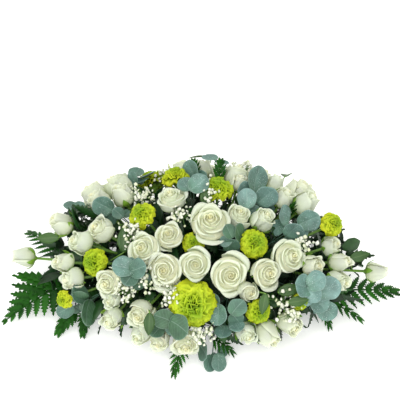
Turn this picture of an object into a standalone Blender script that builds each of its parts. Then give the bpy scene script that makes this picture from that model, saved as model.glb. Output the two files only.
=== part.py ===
"""A double-ended table spray of white roses and lime carnations.

Every stem stands in a block of floral foam that a shallow plastic tray holds. Metres, +Z up, the front is -Y,
and the origin is the middle of the tray's underside.

The planting plan is drawn as a florist would draw it, looking down at the spray from the front: each row says
how far right of the centre a flower or leaf is seen and how far up, in millimetres, on a sheet that stands
square to the view at the origin.
"""

import math
import random
from dataclasses import dataclass

import bmesh
import bpy
from mathutils import Matrix, Vector
from mathutils.bvhtree import BVHTree

MM = 0.001
SEAT_GAP = 0.3 * MM

# Edges that turn by more than this show as edges, the others are smooth
SHARP_EDGE = math.radians(40)

# The sloping view that the plan is drawn in
VIEW_TILT = math.radians(50)
VIEW_RANGE = 1.9
VIEW_UP = Vector((0, math.sin(VIEW_TILT), math.cos(VIEW_TILT)))
ACROSS = Vector((1, 0, 0))
EYE = Vector((0, -math.cos(VIEW_TILT), math.sin(VIEW_TILT))) * VIEW_RANGE

# The dome on which the middles of the blooms lie
DOME_HALF_LENGTH = 385 * MM
DOME_HALF_WIDTH = 215 * MM
DOME_FOOT = 50 * MM
DOME_RISE = 175 * MM
DOME_TAPER = 1.6

# Tray and foam
FOAM_LENGTH, FOAM_WIDTH, FOAM_HEIGHT = 340 * MM, 120 * MM, 76 * MM
TRAY_FLOOR, TRAY_WALL, TRAY_HEIGHT = 4 * MM, 2.5 * MM, 26 * MM
FOAM_CORNER = 8 * MM
CORNER_STEPS = 3
FOAM_BOTTOM = TRAY_FLOOR + SEAT_GAP
FOAM_TOP = FOAM_BOTTOM + FOAM_HEIGHT

# Flower stems meet at points inside the foam, so that they radiate as a florist sets them
HUB_COUNT = 6
HUB_SPACING = 54 * MM
HUB_HEIGHT = 46 * MM
HUB_REACH = 130 * MM
HUB_POCKET = 16 * MM
STEM_SIDES = 3
STALK_SIDES = 3
STEM_RADIUS = 2.6 * MM
HOLE_PLAY = 0.5 * MM
HOLE_REACH = 170 * MM
NECK = 14 * MM

# Foliage stems: how deep they stand in the foam, how far towards the leaves they fork, and what keeps clear
FOOT_DEPTH = 26 * MM
FORK_SHARE = 0.45
FORK_FREE = 8 * MM
CLEAR = 0.6 * MM
TABLE_CLEAR = 1.5 * MM
TRIES = 60
BENDS = (0, 0.12, 0.12, 0.25, 0.25, 0.4, 0.4, 0.6)
HUB_KNOT = 12 * MM
GUM_STEM, LEAF_STALK = 1.7 * MM, 1.2 * MM
KNOT_SHARE = 2.0
CRUMB = 20 * MM ** 3
CLOUD_DEPTH = 18 * MM
FLORET_LIFTS = (8, 14, 2, -6, 20, -14, 26)
FERN_STEM = 1.6 * MM
BREATH_STEM, BREATH_STALK = 1.1 * MM, 0.7 * MM
FLORET = 4.4 * MM

# Leaf blades
LEAF_THICK = 1.5 * MM
GUM_CUP = 0.16
ROSE_LEAF_HALF_WIDTH = 0.32
FROND_RIB = 1.2 * MM
FROND_THICK = 0.7 * MM

WHITE_PETAL = ("white_petal", (0.90, 0.90, 0.80), 0.55)
LIME_PETAL = ("lime_petal", (0.52, 0.72, 0.05), 0.60)
FLOWER_STEM = ("flower_stem", (0.10, 0.24, 0.05), 0.50)
GUM_LEAF = ("gum_leaf", (0.22, 0.36, 0.33), 0.65)
FERN_LEAF = ("fern_leaf", (0.03, 0.15, 0.04), 0.45)
BREATH = ("breath_floret", (0.85, 0.86, 0.76), 0.70)
FOAM_GREEN = ("foam_green", (0.05, 0.14, 0.06), 0.95)
TRAY_PLASTIC = ("tray_plastic", (0.02, 0.05, 0.03), 0.35)


@dataclass
class Bloom:
    """One flower head of the plan, in millimetres and degrees."""

    across: float
    up: float
    width: float
    openness: float
    lean: tuple = (0, 0)
    lift: float = 0
    behind: bool = False


# Each list of roses is a cluster whose heads press against each other
ROSES = {
    "roses_left_tip": [Bloom(-372, 50, 52, 0.10)],
    "roses_left_upper": [Bloom(-294, 122, 62, 0.35)],
    "roses_left": [
        Bloom(-211, 107, 68, 0.60),
        Bloom(-254, 82, 64, 0.45),
        Bloom(-291, 40, 53, 0.20),
        Bloom(-276, 2, 60, 0.50, lift=-8),
    ],
    "roses_left_front": [
        Bloom(-188, -4, 70, 0.80, lift=5),
        Bloom(-185, -40, 46, 0.50),
        Bloom(-185, -80, 60, 0.40),
    ],
    "roses_front_low": [
        Bloom(-122, -68, 71, 0.70),
        Bloom(-124, -109, 60, 0.40),
        Bloom(-85, -125, 55, 0.60),
        Bloom(-29, -130, 70, 0.80),
    ],
    "roses_front_right": [
        Bloom(98, -110, 56, 0.40),
        Bloom(143, -112, 66, 0.20),
        Bloom(190, -91, 66, 0.25),
    ],
    "roses_centre": [
        Bloom(-116, 66, 82, 0.85),
        Bloom(-64, 94, 68, 0.90),
        Bloom(-73, 22, 80, 0.90),
        Bloom(-11, 33, 76, 0.90),
        Bloom(61, 13, 88, 1.00),
        Bloom(102, -23, 55, 0.50),
        Bloom(138, 17, 76, 0.90),
        Bloom(188, 50, 81, 0.80),
        Bloom(240, 31, 56, 0.40),
    ],
    "roses_top": [
        Bloom(22, 122, 92, 1.00),
        Bloom(81, 136, 65, 0.70),
        Bloom(134, 132, 64, 0.40),
    ],
    "roses_top_left": [Bloom(-61, 172, 72, 0.90)],
    "roses_right": [
        Bloom(284, 76, 51, 0.40, lift=-6),
        Bloom(296, 40, 53, 0.10),
        Bloom(291, -2, 61, 0.35),
    ],
    "roses_right_tip": [Bloom(372, 19, 50, 0.10)],
    "roses_back_left": [
        Bloom(-166, 184, 62, 0.25),
        Bloom(-217, 168, 64, 0.50),
        Bloom(-193, 14, 72, 0.60, behind=True),
        Bloom(-243, 34, 66, 0.50, behind=True),
        Bloom(-243, -40, 64, 0.50, behind=True),
        Bloom(-192, -50, 72, 0.60, behind=True),
    ],
    "roses_back": [
        Bloom(6, 237, 54, 0.50),
        Bloom(-44, -36, 74, 0.60, behind=True),
        Bloom(-32, -99, 72, 0.70, behind=True),
        Bloom(32, -90, 68, 0.60, behind=True),
    ],
    "roses_back_right": [
        Bloom(226, 166, 68, 0.30),
        Bloom(178, 176, 58, 0.50),
        Bloom(158, 204, 54, 0.40),
        Bloom(82, 208, 50, 0.50),
        Bloom(85, 22, 70, 0.70, behind=True),
        Bloom(143, -18, 70, 0.60, behind=True),
        Bloom(225, 23, 73, 0.60, behind=True),
        Bloom(240, -36, 68, 0.50, behind=True),
    ],
}

CARNATIONS = {
    "carnation_front": Bloom(-15, -52, 98, 0.90),
    "carnation_left": Bloom(-232, 39, 59, 0.90, lift=-10),
    "carnation_left_upper": Bloom(-124, 141, 58, 0.80),
    "carnation_top_left": Bloom(-52, 222, 58, 0.80),
    "carnation_top": Bloom(38, 197, 66, 0.90),
    "carnation_right_centre": Bloom(116, 80, 62, 0.80),
    "carnation_right_front": Bloom(125, -67, 54, 0.80, lift=-3),
    "carnation_right_small": Bloom(212, -44, 40, 0.50),
    "carnation_right_end": Bloom(276, 118, 42, 0.60, lift=16),
    "carnation_left_small": Bloom(-278, -36, 38, 0.50, lift=10),
    "carnation_middle": Bloom(-12, 86, 48, 0.70, lift=-18),
    "carnation_rear_left": Bloom(-118, -82, 66, 0.80, behind=True),
    "carnation_rear_right": Bloom(108, -84, 66, 0.80, behind=True),
}


@dataclass
class Leaf:
    """One leaf of the plan: where its middle is seen, and how wide and how tall it looks."""

    across: float
    up: float
    wide: float
    tall: float
    behind: bool = False


# Round grey-green leaves, a list for each sprig
GUM_SPRIGS = {
    "gum_left_top": [Leaf(-204, 158, 48, 46), Leaf(-172, 143, 28, 26), Leaf(-141, 214, 24, 34)],
    "gum_top": [Leaf(-17, 228, 32, 56), Leaf(-3, 204, 46, 44)],
    "gum_top_right": [Leaf(119, 214, 44, 58), Leaf(99, 173, 44, 44), Leaf(140, 178, 52, 44)],
    "gum_right_upper": [Leaf(176, 138, 20, 46), Leaf(196, 107, 46, 32), Leaf(229, 127, 50, 48)],
    "gum_centre": [Leaf(61, 104, 28, 32), Leaf(81, 101, 26, 42), Leaf(66, 76, 38, 26)],
    "gum_centre_left": [Leaf(-160, 29, 52, 46), Leaf(-129, 26, 32, 46), Leaf(-134, -4, 38, 30)],
    "gum_left_front": [Leaf(-281, -60, 38, 34), Leaf(-235, -66, 40, 60), Leaf(-252, -36, 42, 28)],
    "gum_front_left": [Leaf(-74, -78, 48, 44), Leaf(-42, -95, 42, 56), Leaf(-90, -103, 36, 30)],
    "gum_front": [
        Leaf(78, -54, 42, 38),
        Leaf(38, -70, 40, 46),
        Leaf(76, -92, 36, 30),
        Leaf(48, -106, 38, 28),
    ],
    "gum_front_tip": [Leaf(8, -146, 24, 42), Leaf(19, -170, 28, 36), Leaf(38, -168, 32, 38)],
    "gum_right_front": [
        Leaf(269, -14, 52, 50),
        Leaf(244, 0, 40, 46),
        Leaf(248, -44, 42, 46),
        Leaf(264, -60, 48, 42),
        Leaf(215, -10, 32, 52),
    ],
    "gum_rear_left": [
        Leaf(-150, -40, 50, 46, behind=True),
        Leaf(-118, -28, 44, 50, behind=True),
        Leaf(-300, -10, 46, 40, behind=True),
    ],
    "gum_rear_right": [Leaf(20, 0, 48, 44, behind=True), Leaf(58, -30, 42, 48, behind=True)],
}

# Pointed green leaves on the flower stems
ROSE_LEAVES = [
    Leaf(-161, 86, 30, 52),
    Leaf(188, -18, 52, 40),
    Leaf(-106, -90, 34, 46),
    Leaf(10, 178, 30, 40),
    Leaf(133, -48, 36, 44),
    Leaf(206, -42, 44, 32),
    Leaf(-320, 90, 46, 30),
    Leaf(335, 52, 44, 28),
    Leaf(0, -40, 50, 36, behind=True),
    Leaf(205, -12, 36, 50, behind=True),
]


@dataclass
class Frond:
    """One fern frond: where its blade starts and ends on the plan and over the table, and half its width."""

    start: tuple
    tip: tuple
    reach: float
    pairs: int
    arch: float = 12
    behind: bool = False


FERNS = {
    "fern_left": [
        Frond((-290, -8, 52), (-418, -92, 14), 58, 8),
        Frond((-262, -62, 34), (-296, -108, 14), 24, 5),
        Frond((-236, -66, 34), (-244, -112, 14), 20, 5),
    ],
    "fern_left_back": [Frond((-295, 60, 70), (-362, 102, 60), 34, 7)],
    "fern_right": [
        Frond((262, -22, 60), (412, -22, 26), 46, 9),
        Frond((262, -40, 40), (340, -84, 16), 28, 6),
        Frond((252, -50, 34), (270, -96, 14), 20, 5),
    ],
    "fern_front": [
        Frond((-35, -128, 40), (-54, -194, 16), 24, 6),
        Frond((30, -122, 40), (70, -150, 24), 24, 5),
    ],
    "fern_top": [
        Frond((40, 214, 176), (44, 256, 214), 18, 4),
        Frond((-12, 222, 176), (-14, 256, 206), 18, 4),
    ],
    "fern_top_right": [
        Frond((186, 130, 150), (196, 164, 210), 14, 4),
    ],
    "fern_rear": [Frond((-100, -118, 34), (-140, -165, 14), 30, 7, behind=True)],
}


@dataclass
class Cloud:
    """A patch of small florets: where its middle is seen, how wide it spreads and how many it has."""

    across: float
    up: float
    spread: float
    florets: int
    behind: bool = False


BREATH_SPRAYS = {
    "breath_left": [Cloud(-150, 112, 32, 3), Cloud(-128, 192, 24, 3), Cloud(-150, -22, 28, 3)],
    "breath_front": [Cloud(-108, -20, 32, 5), Cloud(-62, -34, 24, 4), Cloud(10, -112, 24, 3)],
    "breath_right": [Cloud(172, -62, 32, 5), Cloud(225, 82, 24, 3)],
    "breath_top": [Cloud(30, 190, 28, 3), Cloud(-38, 134, 24, 3)],
    "breath_rear": [Cloud(-80, -20, 34, 3, behind=True), Cloud(110, -40, 34, 3, behind=True)],
}

# Head profiles from the calyx to the heart, in units of half the head's width: radius and height when shut,
# radius and height when open, how far the petal edges wave in and out, and how far they dip between petals
ROSE_ROWS = [
    ((0.28, 0.00), (0.22, 0.00), 0.00, 0.00),
    ((0.92, 0.75), (0.78, 0.42), 0.03, 0.00),
    ((0.88, 1.65), (1.00, 0.92), 0.09, 0.16),
    ((0.72, 1.55), (0.73, 0.84), 0.00, 0.00),
    ((0.64, 2.05), (0.65, 1.22), 0.08, 0.12),
    ((0.44, 1.92), (0.45, 1.06), 0.00, 0.00),
    ((0.32, 2.25), (0.31, 1.30), 0.10, 0.08),
]
ROSE_HEART = (2.12, 1.10)
ROSE_PETALS = 5
SMALL_ROWS = [0, 1, 2, 3, 4]
SMALL_WIDTH = 77
TINY_WIDTH = 50
BUD_ROWS = [0, 1, 2, 3, 6]
BUD_PETALS = 4
BUD_LIMIT = 0.45

CARNATION_ROWS = [
    ((0.30, 0.00), (0.20, 0.00), 0.00, 0.00),
    ((0.90, 0.75), (0.92, 0.45), 0.07, -0.08),
    ((0.95, 1.05), (0.96, 0.74), 0.07, 0.12),
    ((0.68, 1.10), (0.70, 0.72), 0.05, 0.00),
    ((0.55, 1.45), (0.60, 1.08), 0.12, 0.12),
    ((0.30, 1.30), (0.32, 0.94), 0.08, 0.00),
]
CARNATION_HEART = (1.55, 1.16)
CARNATION_FRILLS = 7


def turned_back(vector):
    """The same vector as the back of the spray has it."""
    return Vector((vector.x, -vector.y, vector.z))


def plan_ray(across, up, behind=False):
    """The direction from the eye, or from its twin behind the spray, through a point of the plan, in metres."""
    ray = (ACROSS * across + VIEW_UP * up - EYE).normalized()
    return turned_back(ray) if behind else ray


def dome_depth(point):
    """How far inside the dome a point is: 0 on it, 1 at its heart and negative outside."""
    along = (abs(point.x) / DOME_HALF_LENGTH) ** DOME_TAPER
    return 1 - along - (point.y / DOME_HALF_WIDTH) ** 2 - ((point.z - DOME_FOOT) / DOME_RISE) ** 2


def dome_point(across, up, behind=False):
    """Where the plan's ray first meets the dome, or else passes nearest to it."""
    ray = plan_ray(across, up)
    way = [EYE + ray * (VIEW_RANGE + step * MM) for step in range(-400, 400)]
    hits = (p for p in way if dome_depth(p) > 0)
    point = next(hits, None) or max(way, key=dome_depth)
    return turned_back(point) if behind else point


def true_size(seen, point):
    """The real size at this point of what measures so much, in millimetres, on the plan."""
    return seen * MM * (point - EYE).length / VIEW_RANGE


def hub_place(number):
    """The foam point of this number, where a bunch of flower stems meet."""
    return Vector(((number - (HUB_COUNT - 1) / 2) * HUB_SPACING, 0, HUB_HEIGHT))


def hub_of(x):
    """The number and the place of the foam point that the stem of a flower at x comes from."""
    number = min(HUB_COUNT - 1, max(0, int(x / HUB_REACH + HUB_COUNT / 2)))
    return number, hub_place(number)


def turned_to(axis, spin=0.0):
    """The rotation that stands +Z along axis."""
    return axis.to_track_quat("Z", "Y").to_matrix() @ Matrix.Rotation(spin, 3, "Z")


def material_of(finish):
    name, colour, roughness = finish
    found = bpy.data.materials.get(name)
    if found:
        return found
    made = bpy.data.materials.new(name)
    made.use_nodes = True
    shader = made.node_tree.nodes["Principled BSDF"]
    shader.inputs["Base Color"].default_value = (*colour, 1)
    shader.inputs["Roughness"].default_value = roughness
    shader.inputs["Metallic"].default_value = 0
    return made


def solid(name, points, faces, finish):
    mesh = bpy.data.meshes.new(name)
    mesh.from_pydata(points, [], faces)
    mesh.materials.append(material_of(finish))
    made = bpy.data.objects.new(name, mesh)
    bpy.context.scene.collection.objects.link(made)
    return made


def boolean(target, others, operation):
    """Applies one Boolean of all the others to the target, and removes them."""
    group = bpy.data.collections.new(target.name + "_group")
    for other in others:
        group.objects.link(other)
    step = target.modifiers.new("Boolean", "BOOLEAN")
    step.operation = operation
    step.operand_type = "COLLECTION"
    step.collection = group
    step.solver = "MANIFOLD"
    bpy.context.view_layer.objects.active = target
    bpy.ops.object.modifier_apply(modifier=step.name)
    for other in others:
        bpy.data.objects.remove(other)
    bpy.data.collections.remove(group)
    drop_scraps(target)
    return target


def drop_scraps(thing):
    """Deletes the crumbs and the sealed pockets that a Boolean leaves beside the main body."""
    made = bmesh.new()
    made.from_mesh(thing.data)
    unseen = set(made.faces)
    scraps = []
    while unseen:
        front = [unseen.pop()]
        body = list(front)
        while front:
            here = front.pop()
            near = {face for edge in here.edges for face in edge.link_faces} & unseen
            unseen -= near
            body += near
            front += near
        if volume(body) < CRUMB:
            scraps += body
    bmesh.ops.delete(made, geom=scraps, context="FACES")
    made.to_mesh(thing.data)
    made.free()


def volume(faces):
    """The volume inside these faces, negative where they close a pocket."""
    total = 0
    for face in faces:
        first, *rest = [v.co for v in face.verts]
        total += sum(first.dot(a.cross(b)) for a, b in zip(rest, rest[1:])) / 6
    return total


def fused(parts):
    """The first part, joined with the rest into one body."""
    return boolean(parts[0], parts[1:], "UNION") if len(parts) > 1 else parts[0]


def loft(rings, tip=None):
    """Points and faces of a skin over rings of equal count, closed flat, or to a tip at the far end."""
    count = len(rings[0])
    points = [p for ring in rings for p in ring]
    faces = [tuple(reversed(range(count)))]
    for row in range(len(rings) - 1):
        low, high = row * count, (row + 1) * count
        for k in range(count):
            after = (k + 1) % count
            faces.append((low + k, low + after, high + after, high + k))
    last = len(points) - count
    if tip is None:
        faces.append(tuple(range(last, last + count)))
    else:
        points.append(tip)
        faces += [(last + k, last + (k + 1) % count, len(points) - 1) for k in range(count)]
    return points, faces


def tube(path, radii, sides, tip=None):
    """A skin over a path, with a radius for each of its points."""
    rings = []
    for i, (point, radius) in enumerate(zip(path, radii)):
        before, after = path[max(0, i - 1)], path[min(len(path) - 1, i + 1)]
        turn = turned_to((after - before).normalized())
        angles = [math.tau * k / sides for k in range(sides)]
        rings.append([point + turn @ Vector((math.cos(t), math.sin(t), 0)) * radius for t in angles])
    return loft(rings, tip)


def head_skin(rows, heart, petals, openness):
    """A flower head round +Z with its base at the origin: petal rows as rings that wave and dip."""

    def mixed(shut, opened):
        return shut + (opened - shut) * openness

    count = 2 * petals
    rings = []
    for row, (shut, opened, wave, dip) in enumerate(rows):
        radius, height = mixed(shut[0], opened[0]), mixed(shut[1], opened[1])
        ring = []
        for k in range(count):
            side = 1 if (k + row // 2) % 2 else -1
            angle = math.tau * (k + 0.3 * row) / count
            reach = radius * (1 + side * wave)
            drop = dip * (1 - side) / 2
            ring.append(Vector((math.cos(angle) * reach, math.sin(angle) * reach, height - drop)))
        rings.append(ring)
    return loft(rings, Vector((0, 0, mixed(*heart))))


def rose_skin(bloom):
    if bloom.openness < BUD_LIMIT:
        return head_skin([ROSE_ROWS[i] for i in BUD_ROWS], ROSE_HEART, BUD_PETALS, bloom.openness)
    rows = ROSE_ROWS if bloom.width > SMALL_WIDTH else [ROSE_ROWS[i] for i in SMALL_ROWS]
    return head_skin(rows, ROSE_HEART, ROSE_PETALS, bloom.openness)


def carnation_skin(bloom):
    frills = CARNATION_FRILLS if bloom.width > SMALL_WIDTH else CARNATION_FRILLS - 2
    if bloom.width < TINY_WIDTH:
        frills -= 1
    return head_skin(CARNATION_ROWS, CARNATION_HEART, frills, bloom.openness)


@dataclass
class Placed:
    """Where a bloom stands: the middle of its base, the way it faces, its stem's foam point and its size."""

    base: Vector
    axis: Vector
    hub: Vector
    number: int
    half: float


def placed(bloom, heart):
    """Works out a bloom's place from its row of the plan. heart is its profile's middle height."""
    middle = dome_point(bloom.across * MM, bloom.up * MM, bloom.behind)
    half = true_size(bloom.width / 2, middle)
    number, hub = hub_of(middle.x)
    axis = (middle - hub).normalized()
    lean = ACROSS * math.tan(math.radians(bloom.lean[0])) + VIEW_UP * math.tan(math.radians(bloom.lean[1]))
    axis = (axis + lean).normalized()
    height = (heart[0] + (heart[1] - heart[0]) * bloom.openness) * half
    base = middle + axis * (bloom.lift * MM - height / 2)
    return Placed(base, axis, hub, number, half)


def flower_head(name, skin, place, spin, finish):
    points, faces = skin
    turn = turned_to(place.axis, spin)
    return solid(name, [place.base + turn @ (p * place.half) for p in points], faces, finish)


def stem_path(place):
    """A flower stem's points, from its foam point to just under the head."""
    top = place.base - place.axis * SEAT_GAP
    neck = place.base - place.axis * NECK
    return [place.hub, neck, top]


def flower_stem(name, place, calyx):
    points, faces = tube(stem_path(place), [STEM_RADIUS, STEM_RADIUS, calyx], STEM_SIDES)
    return solid(name, points, faces, FLOWER_STEM)


class Bed:
    """All that stands in the foam so far, so that each new piece can be set clear of it."""

    def __init__(self):
        self.trees = {}

    def add(self, thing):
        mesh = thing.data
        points = [v.co.copy() for v in mesh.vertices]
        self.trees[thing.name] = BVHTree.FromPolygons(points, [tuple(p.vertices) for p in mesh.polygons])

    def clear(self, skin, leave_out=()):
        points, faces = skin
        if min(p.z for p in points) < TABLE_CLEAR:
            return False
        tree = BVHTree.FromPolygons(points, faces)
        return not any(tree.overlap(other) for name, other in self.trees.items() if name not in leave_out)

    def find_way(self, starts, end, radius, dice, leave_out=()):
        """A clear way for a stalk to the end from one of the starts, the nearest first, straight or bent."""
        for start in sorted(starts, key=lambda p: (p - end).length)[:4]:
            for bend in BENDS:
                aside = Vector([dice.uniform(-1, 1) for axis in range(3)]) * bend * (end - start).length
                path = bowed(start, (start + end) / 2 + aside, end, 3) if bend else [start, end]
                if self.clear(tube(path, [radius + CLEAR] * len(path), STALK_SIDES), leave_out):
                    return path
        return None

    def find_stem(self, aim, radius, dice):
        """A clear straight way for a foliage stem out of the foam towards aim."""
        hub = hub_of(aim.x)[1]
        skin = foam_exit(hub, aim)
        for turn in range(TRIES):
            aside = Vector([dice.uniform(-1, 1) for axis in range(3)]) * (6 + 0.5 * turn) * MM
            start = hub + aside
            fork = skin.lerp(aim, FORK_SHARE) + aside * 1.5
            out = foam_exit(start, fork)
            if (fork - start).length < (out - start).length + FORK_FREE:
                continue
            foot = out + (start - fork).normalized() * FOOT_DEPTH
            way_clear = self.clear(tube([foot, fork], [radius + CLEAR] * 2, STALK_SIDES), ("foam",))
            if way_clear and self.clear(knot_skin(fork, KNOT_SHARE * radius + CLEAR)):
                return [foot, fork]
        return None


def bowed(start, bend, end, count):
    """Points along the curve that leaves start towards bend and comes to end from it."""
    shares = [k / (count - 1) for k in range(count)]
    return [start.lerp(bend, t).lerp(bend.lerp(end, t), t) for t in shares]


def foam_exit(start, beyond):
    """Where the line from a point in the foam to one beyond it comes out."""
    way = beyond - start
    low = Vector((-FOAM_LENGTH / 2, -FOAM_WIDTH / 2, FOAM_BOTTOM))
    high = Vector((FOAM_LENGTH / 2, FOAM_WIDTH / 2, FOAM_TOP))
    shares = [((high if way[k] > 0 else low)[k] - start[k]) / way[k] for k in range(3) if way[k]]
    return start + way * min(shares)


def knot_skin(point, size):
    """A small eight-sided swelling where stalks part."""
    reach = [Vector(v) * size for v in ((1, 0, 0), (0, 1, 0), (-1, 0, 0), (0, -1, 0), (0, 0, 1), (0, 0, -1))]
    faces = [(k, (k + 1) % 4, 4) for k in range(4)] + [((k + 1) % 4, k, 5) for k in range(4)]
    return [point + v for v in reach], faces


def knot(point, size, finish):
    return solid("knot", *knot_skin(point, size), finish)


def ring_of_three(point, ahead, aside, radius):
    """Three points round a stalk, the first of them over it, the others under it on either side."""
    level = (aside - ahead * aside.dot(ahead)).normalized()
    over = ahead.cross(level)
    angles = [math.radians(90 + 120 * k) for k in range(3)]
    return [point + (level * math.cos(t) + over * math.sin(t)) * radius for t in angles]


def stalk_end(middle, along, aside, cup):
    """Where a leaf's stalk joins its rim."""
    return middle - along * 0.95 + along.cross(aside).normalized() * cup * 0.9


def leaf_skin(path, outline, middle, along, aside, cup, radius, thick):
    """A leaf and its stalk in one skin. The blade has a sharp rim and is thickest in the middle. The outline
    says how far along and aside of the middle each rim point is, beginning next to the stalk."""
    facing = along.cross(aside).normalized()
    rings = []
    for i, point in enumerate(path[:-1]):
        rings.append(ring_of_three(point, (path[i + 1] - point).normalized(), aside, radius))
    rings.append(ring_of_three(path[-1], along.normalized(), aside, radius))
    points, faces = loft(rings)
    faces.pop()
    over, under, other = len(points) - 3, len(points) - 2, len(points) - 1
    first = len(points)
    points += [middle + along * u + aside * v + facing * cup * (u * u + v * v) for u, v in outline]
    last = len(points) - 1
    top, bottom = last + 1, last + 2
    points += [middle + facing * thick / 2, middle - facing * thick / 2]
    faces += [(over, first, top), (last, over, top), (over, under, first), (other, over, last)]
    faces += [(first, under, bottom), (under, other, bottom), (other, last, bottom)]
    for k in range(first, last):
        faces += [(k, k + 1, top), (k + 1, k, bottom)]
    return points, faces


def gum_outline():
    """A round leaf."""
    angles = [math.tau * k / 8 for k in range(1, 8)]
    return [(-math.cos(t), -math.sin(t) * 0.94) for t in angles]


def rose_leaf_outline():
    """A pointed oval with a toothed rim."""
    rim = []
    for k in range(1, 12):
        angle = math.tau * k / 12
        tooth = 1 if k % 2 == 0 else 0.86
        rim.append((-math.cos(angle) * tooth, -math.sin(angle) * ROSE_LEAF_HALF_WIDTH * 2 * tooth))
    return rim


def leaf_tries(leaf, anchor, dice, round_leaf):
    """Places to try for a leaf, lowest first: its middle, and vectors from there to its tip and its side."""
    middle = dome_point(leaf.across * MM, leaf.up * MM, leaf.behind)
    ray = plan_ray(leaf.across * MM, leaf.up * MM, leaf.behind)
    long_way = VIEW_UP if leaf.tall > leaf.wide else ACROSS
    if leaf.behind:
        long_way = turned_back(long_way)
    length, width = max(leaf.wide, leaf.tall), min(leaf.wide, leaf.tall)
    half = true_size(length / 2, middle)
    slant = math.acos(max(0.4, width / length))
    for lift in range(-6, 60, 5):
        for side in (1, -1):
            centre = middle - ray * lift * MM
            if round_leaf:
                facing = Matrix.Rotation(side * slant + dice.uniform(-0.15, 0.15), 3, long_way) @ -ray
                away = centre - anchor
                along = (away - facing * away.dot(facing)).normalized()
            else:
                along = Matrix.Rotation(dice.uniform(-0.3, 0.3), 3, ray) @ long_way * side
                facing = (along * ray.dot(along) - ray).normalized()
            yield centre, along * half, facing.cross(along) * half


def seat_leaf(bed, leaf, starts, anchor, dice, outline, cup, leave_out=()):
    """Finds a clear place and a clear stalk for one leaf, and returns its skin."""
    for middle, along, aside in leaf_tries(leaf, anchor, dice, cup != 0):
        bend = cup * along.length
        joint = stalk_end(middle, along, aside, bend)
        short = [joint - along * 0.1, joint]
        thick = LEAF_THICK + 2 * CLEAR
        room = leaf_skin(short, outline, middle, along * 1.04, aside * 1.04, bend, LEAF_STALK + CLEAR, thick)
        if not bed.clear(room, leave_out):
            continue
        before = [start for start in starts if (joint - start).dot(along) > 0]
        path = bed.find_way(before, joint, LEAF_STALK, dice, leave_out)
        if path:
            return leaf_skin(path, outline, middle, along, aside, bend, LEAF_STALK, LEAF_THICK), path
    return None


def build_gum(bed, name, leaves, cutters, dice):
    """One sprig: a stem in the foam, and round leaves on stalks that part from it."""
    places = [dome_point(leaf.across * MM, leaf.up * MM, leaf.behind) for leaf in leaves]
    centre = sum(places, Vector()) / len(places)
    stem = bed.find_stem(centre, GUM_STEM, dice)
    parts = [knot(stem[1], KNOT_SHARE * GUM_STEM, GUM_LEAF), stalk_piece(stem, GUM_STEM, GUM_LEAF)]
    starts = [stem[1]]
    anchor = stem[1].lerp(centre, 0.5)
    for leaf in leaves:
        found = seat_leaf(bed, leaf, starts, anchor, dice, gum_outline(), GUM_CUP)
        if not found:
            print("no room for a leaf of", name, leaf)
            continue
        skin, path = found
        parts.append(solid("leaf", *skin, GUM_LEAF))
        starts += path[1:-1]
    finish_sprig(bed, name, parts, cutters, stem, GUM_STEM)


def stalk_piece(path, radius, finish):
    return solid("stalk", *tube(path, [radius] * len(path), STALK_SIDES), finish)


def finish_sprig(bed, name, parts, cutters, stem, radius):
    """Fuses a sprig, counts it in, and notes the hole that its stem needs."""
    sprig = fused(parts)
    sprig.name = name
    bed.add(sprig)
    cutters.append(stem_hole(stem, radius, STALK_SIDES))


def frond_skin(path, rachis, facing, reach, thick):
    """A fern frond and its stalk in one skin: a slim four-sided rib along the path and the rachis, with a pair
    of pointed leaflets between each two points of the rachis."""
    points, faces = [], [(3, 2, 1, 0)]
    way = path[:-1] + rachis
    bare = len(path) - 1
    count = len(way)
    level = (rachis[-1] - rachis[0]).cross(facing).normalized()
    for i, centre in enumerate(way):
        ahead = (way[min(count - 1, i + 1)] - way[max(0, i - 1)]).normalized()
        aside = (level - ahead * level.dot(ahead)).normalized()
        over = aside.cross(ahead)
        slim = FROND_RIB * (1 - 0.6 * i / count)
        for right, top in ((-1, 1), (1, 1), (1, -1), (-1, -1)):
            points.append(centre + aside * right * slim + over * top * (thick if i < bare else thick / 2))
    for i in range(count - 1):
        low, high = 4 * i, 4 * i + 4
        for k in range(4) if i < bare else (0, 2):
            after = (k + 1) % 4
            faces.append((low + k, low + after, high + after, high + k))
        if i >= bare:
            share = (i - bare + 0.5) / (count - 1 - bare)
            length = reach * min(1, 0.62 + 2.2 * share) * (1.04 - share) ** 0.8
            for side, top, under in ((1, 1, 2), (-1, 0, 3)):
                first = len(points)
                points += leaflet_rim(way[i], way[i + 1] - way[i], facing, side * length)
                faces += leaflet_faces((low + top, high + top, low + under, high + under), first, side)
    points.append(way[-1] + (way[-1] - way[-2]) * 1.2)
    last = 4 * (count - 1)
    faces += [(last + k, last + (k + 1) % 4, len(points) - 1) for k in range(4)]
    return points, faces


def leaflet_rim(root, ahead, facing, length):
    """Three rim points of a leaflet that slants forwards and hangs a little. A negative length turns it left."""
    aside = ahead.cross(facing).normalized() * length
    rim = []
    for out, on in ((0.45, 0.40), (1.0, 1.75), (0.5, 1.17)):
        rim.append(root + ahead * on + aside * out - facing * abs(length) * 0.18 * out * out)
    return rim


def leaflet_faces(base, first, side):
    """The faces of a leaflet, alike over and under, on the rib's corners: near and far over, near and far under."""
    near, far, near_under, far_under = base
    a, b, c = first, first + 1, first + 2
    faces = [(near, a, b), (near, b, c), (near, c, far), (near_under, b, a), (near_under, c, b)]
    faces += [(near_under, far_under, c), (near, near_under, a), (far_under, far, c)]
    return faces if side == 1 else [tuple(reversed(face)) for face in faces]


def at_height(across, up, height, behind):
    """The point at this height that the plan's (across, up) looks at."""
    ray = plan_ray(across * MM, up * MM)
    point = EYE + ray * ((height * MM - EYE.z) / ray.z)
    return turned_back(point) if behind else point


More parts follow.
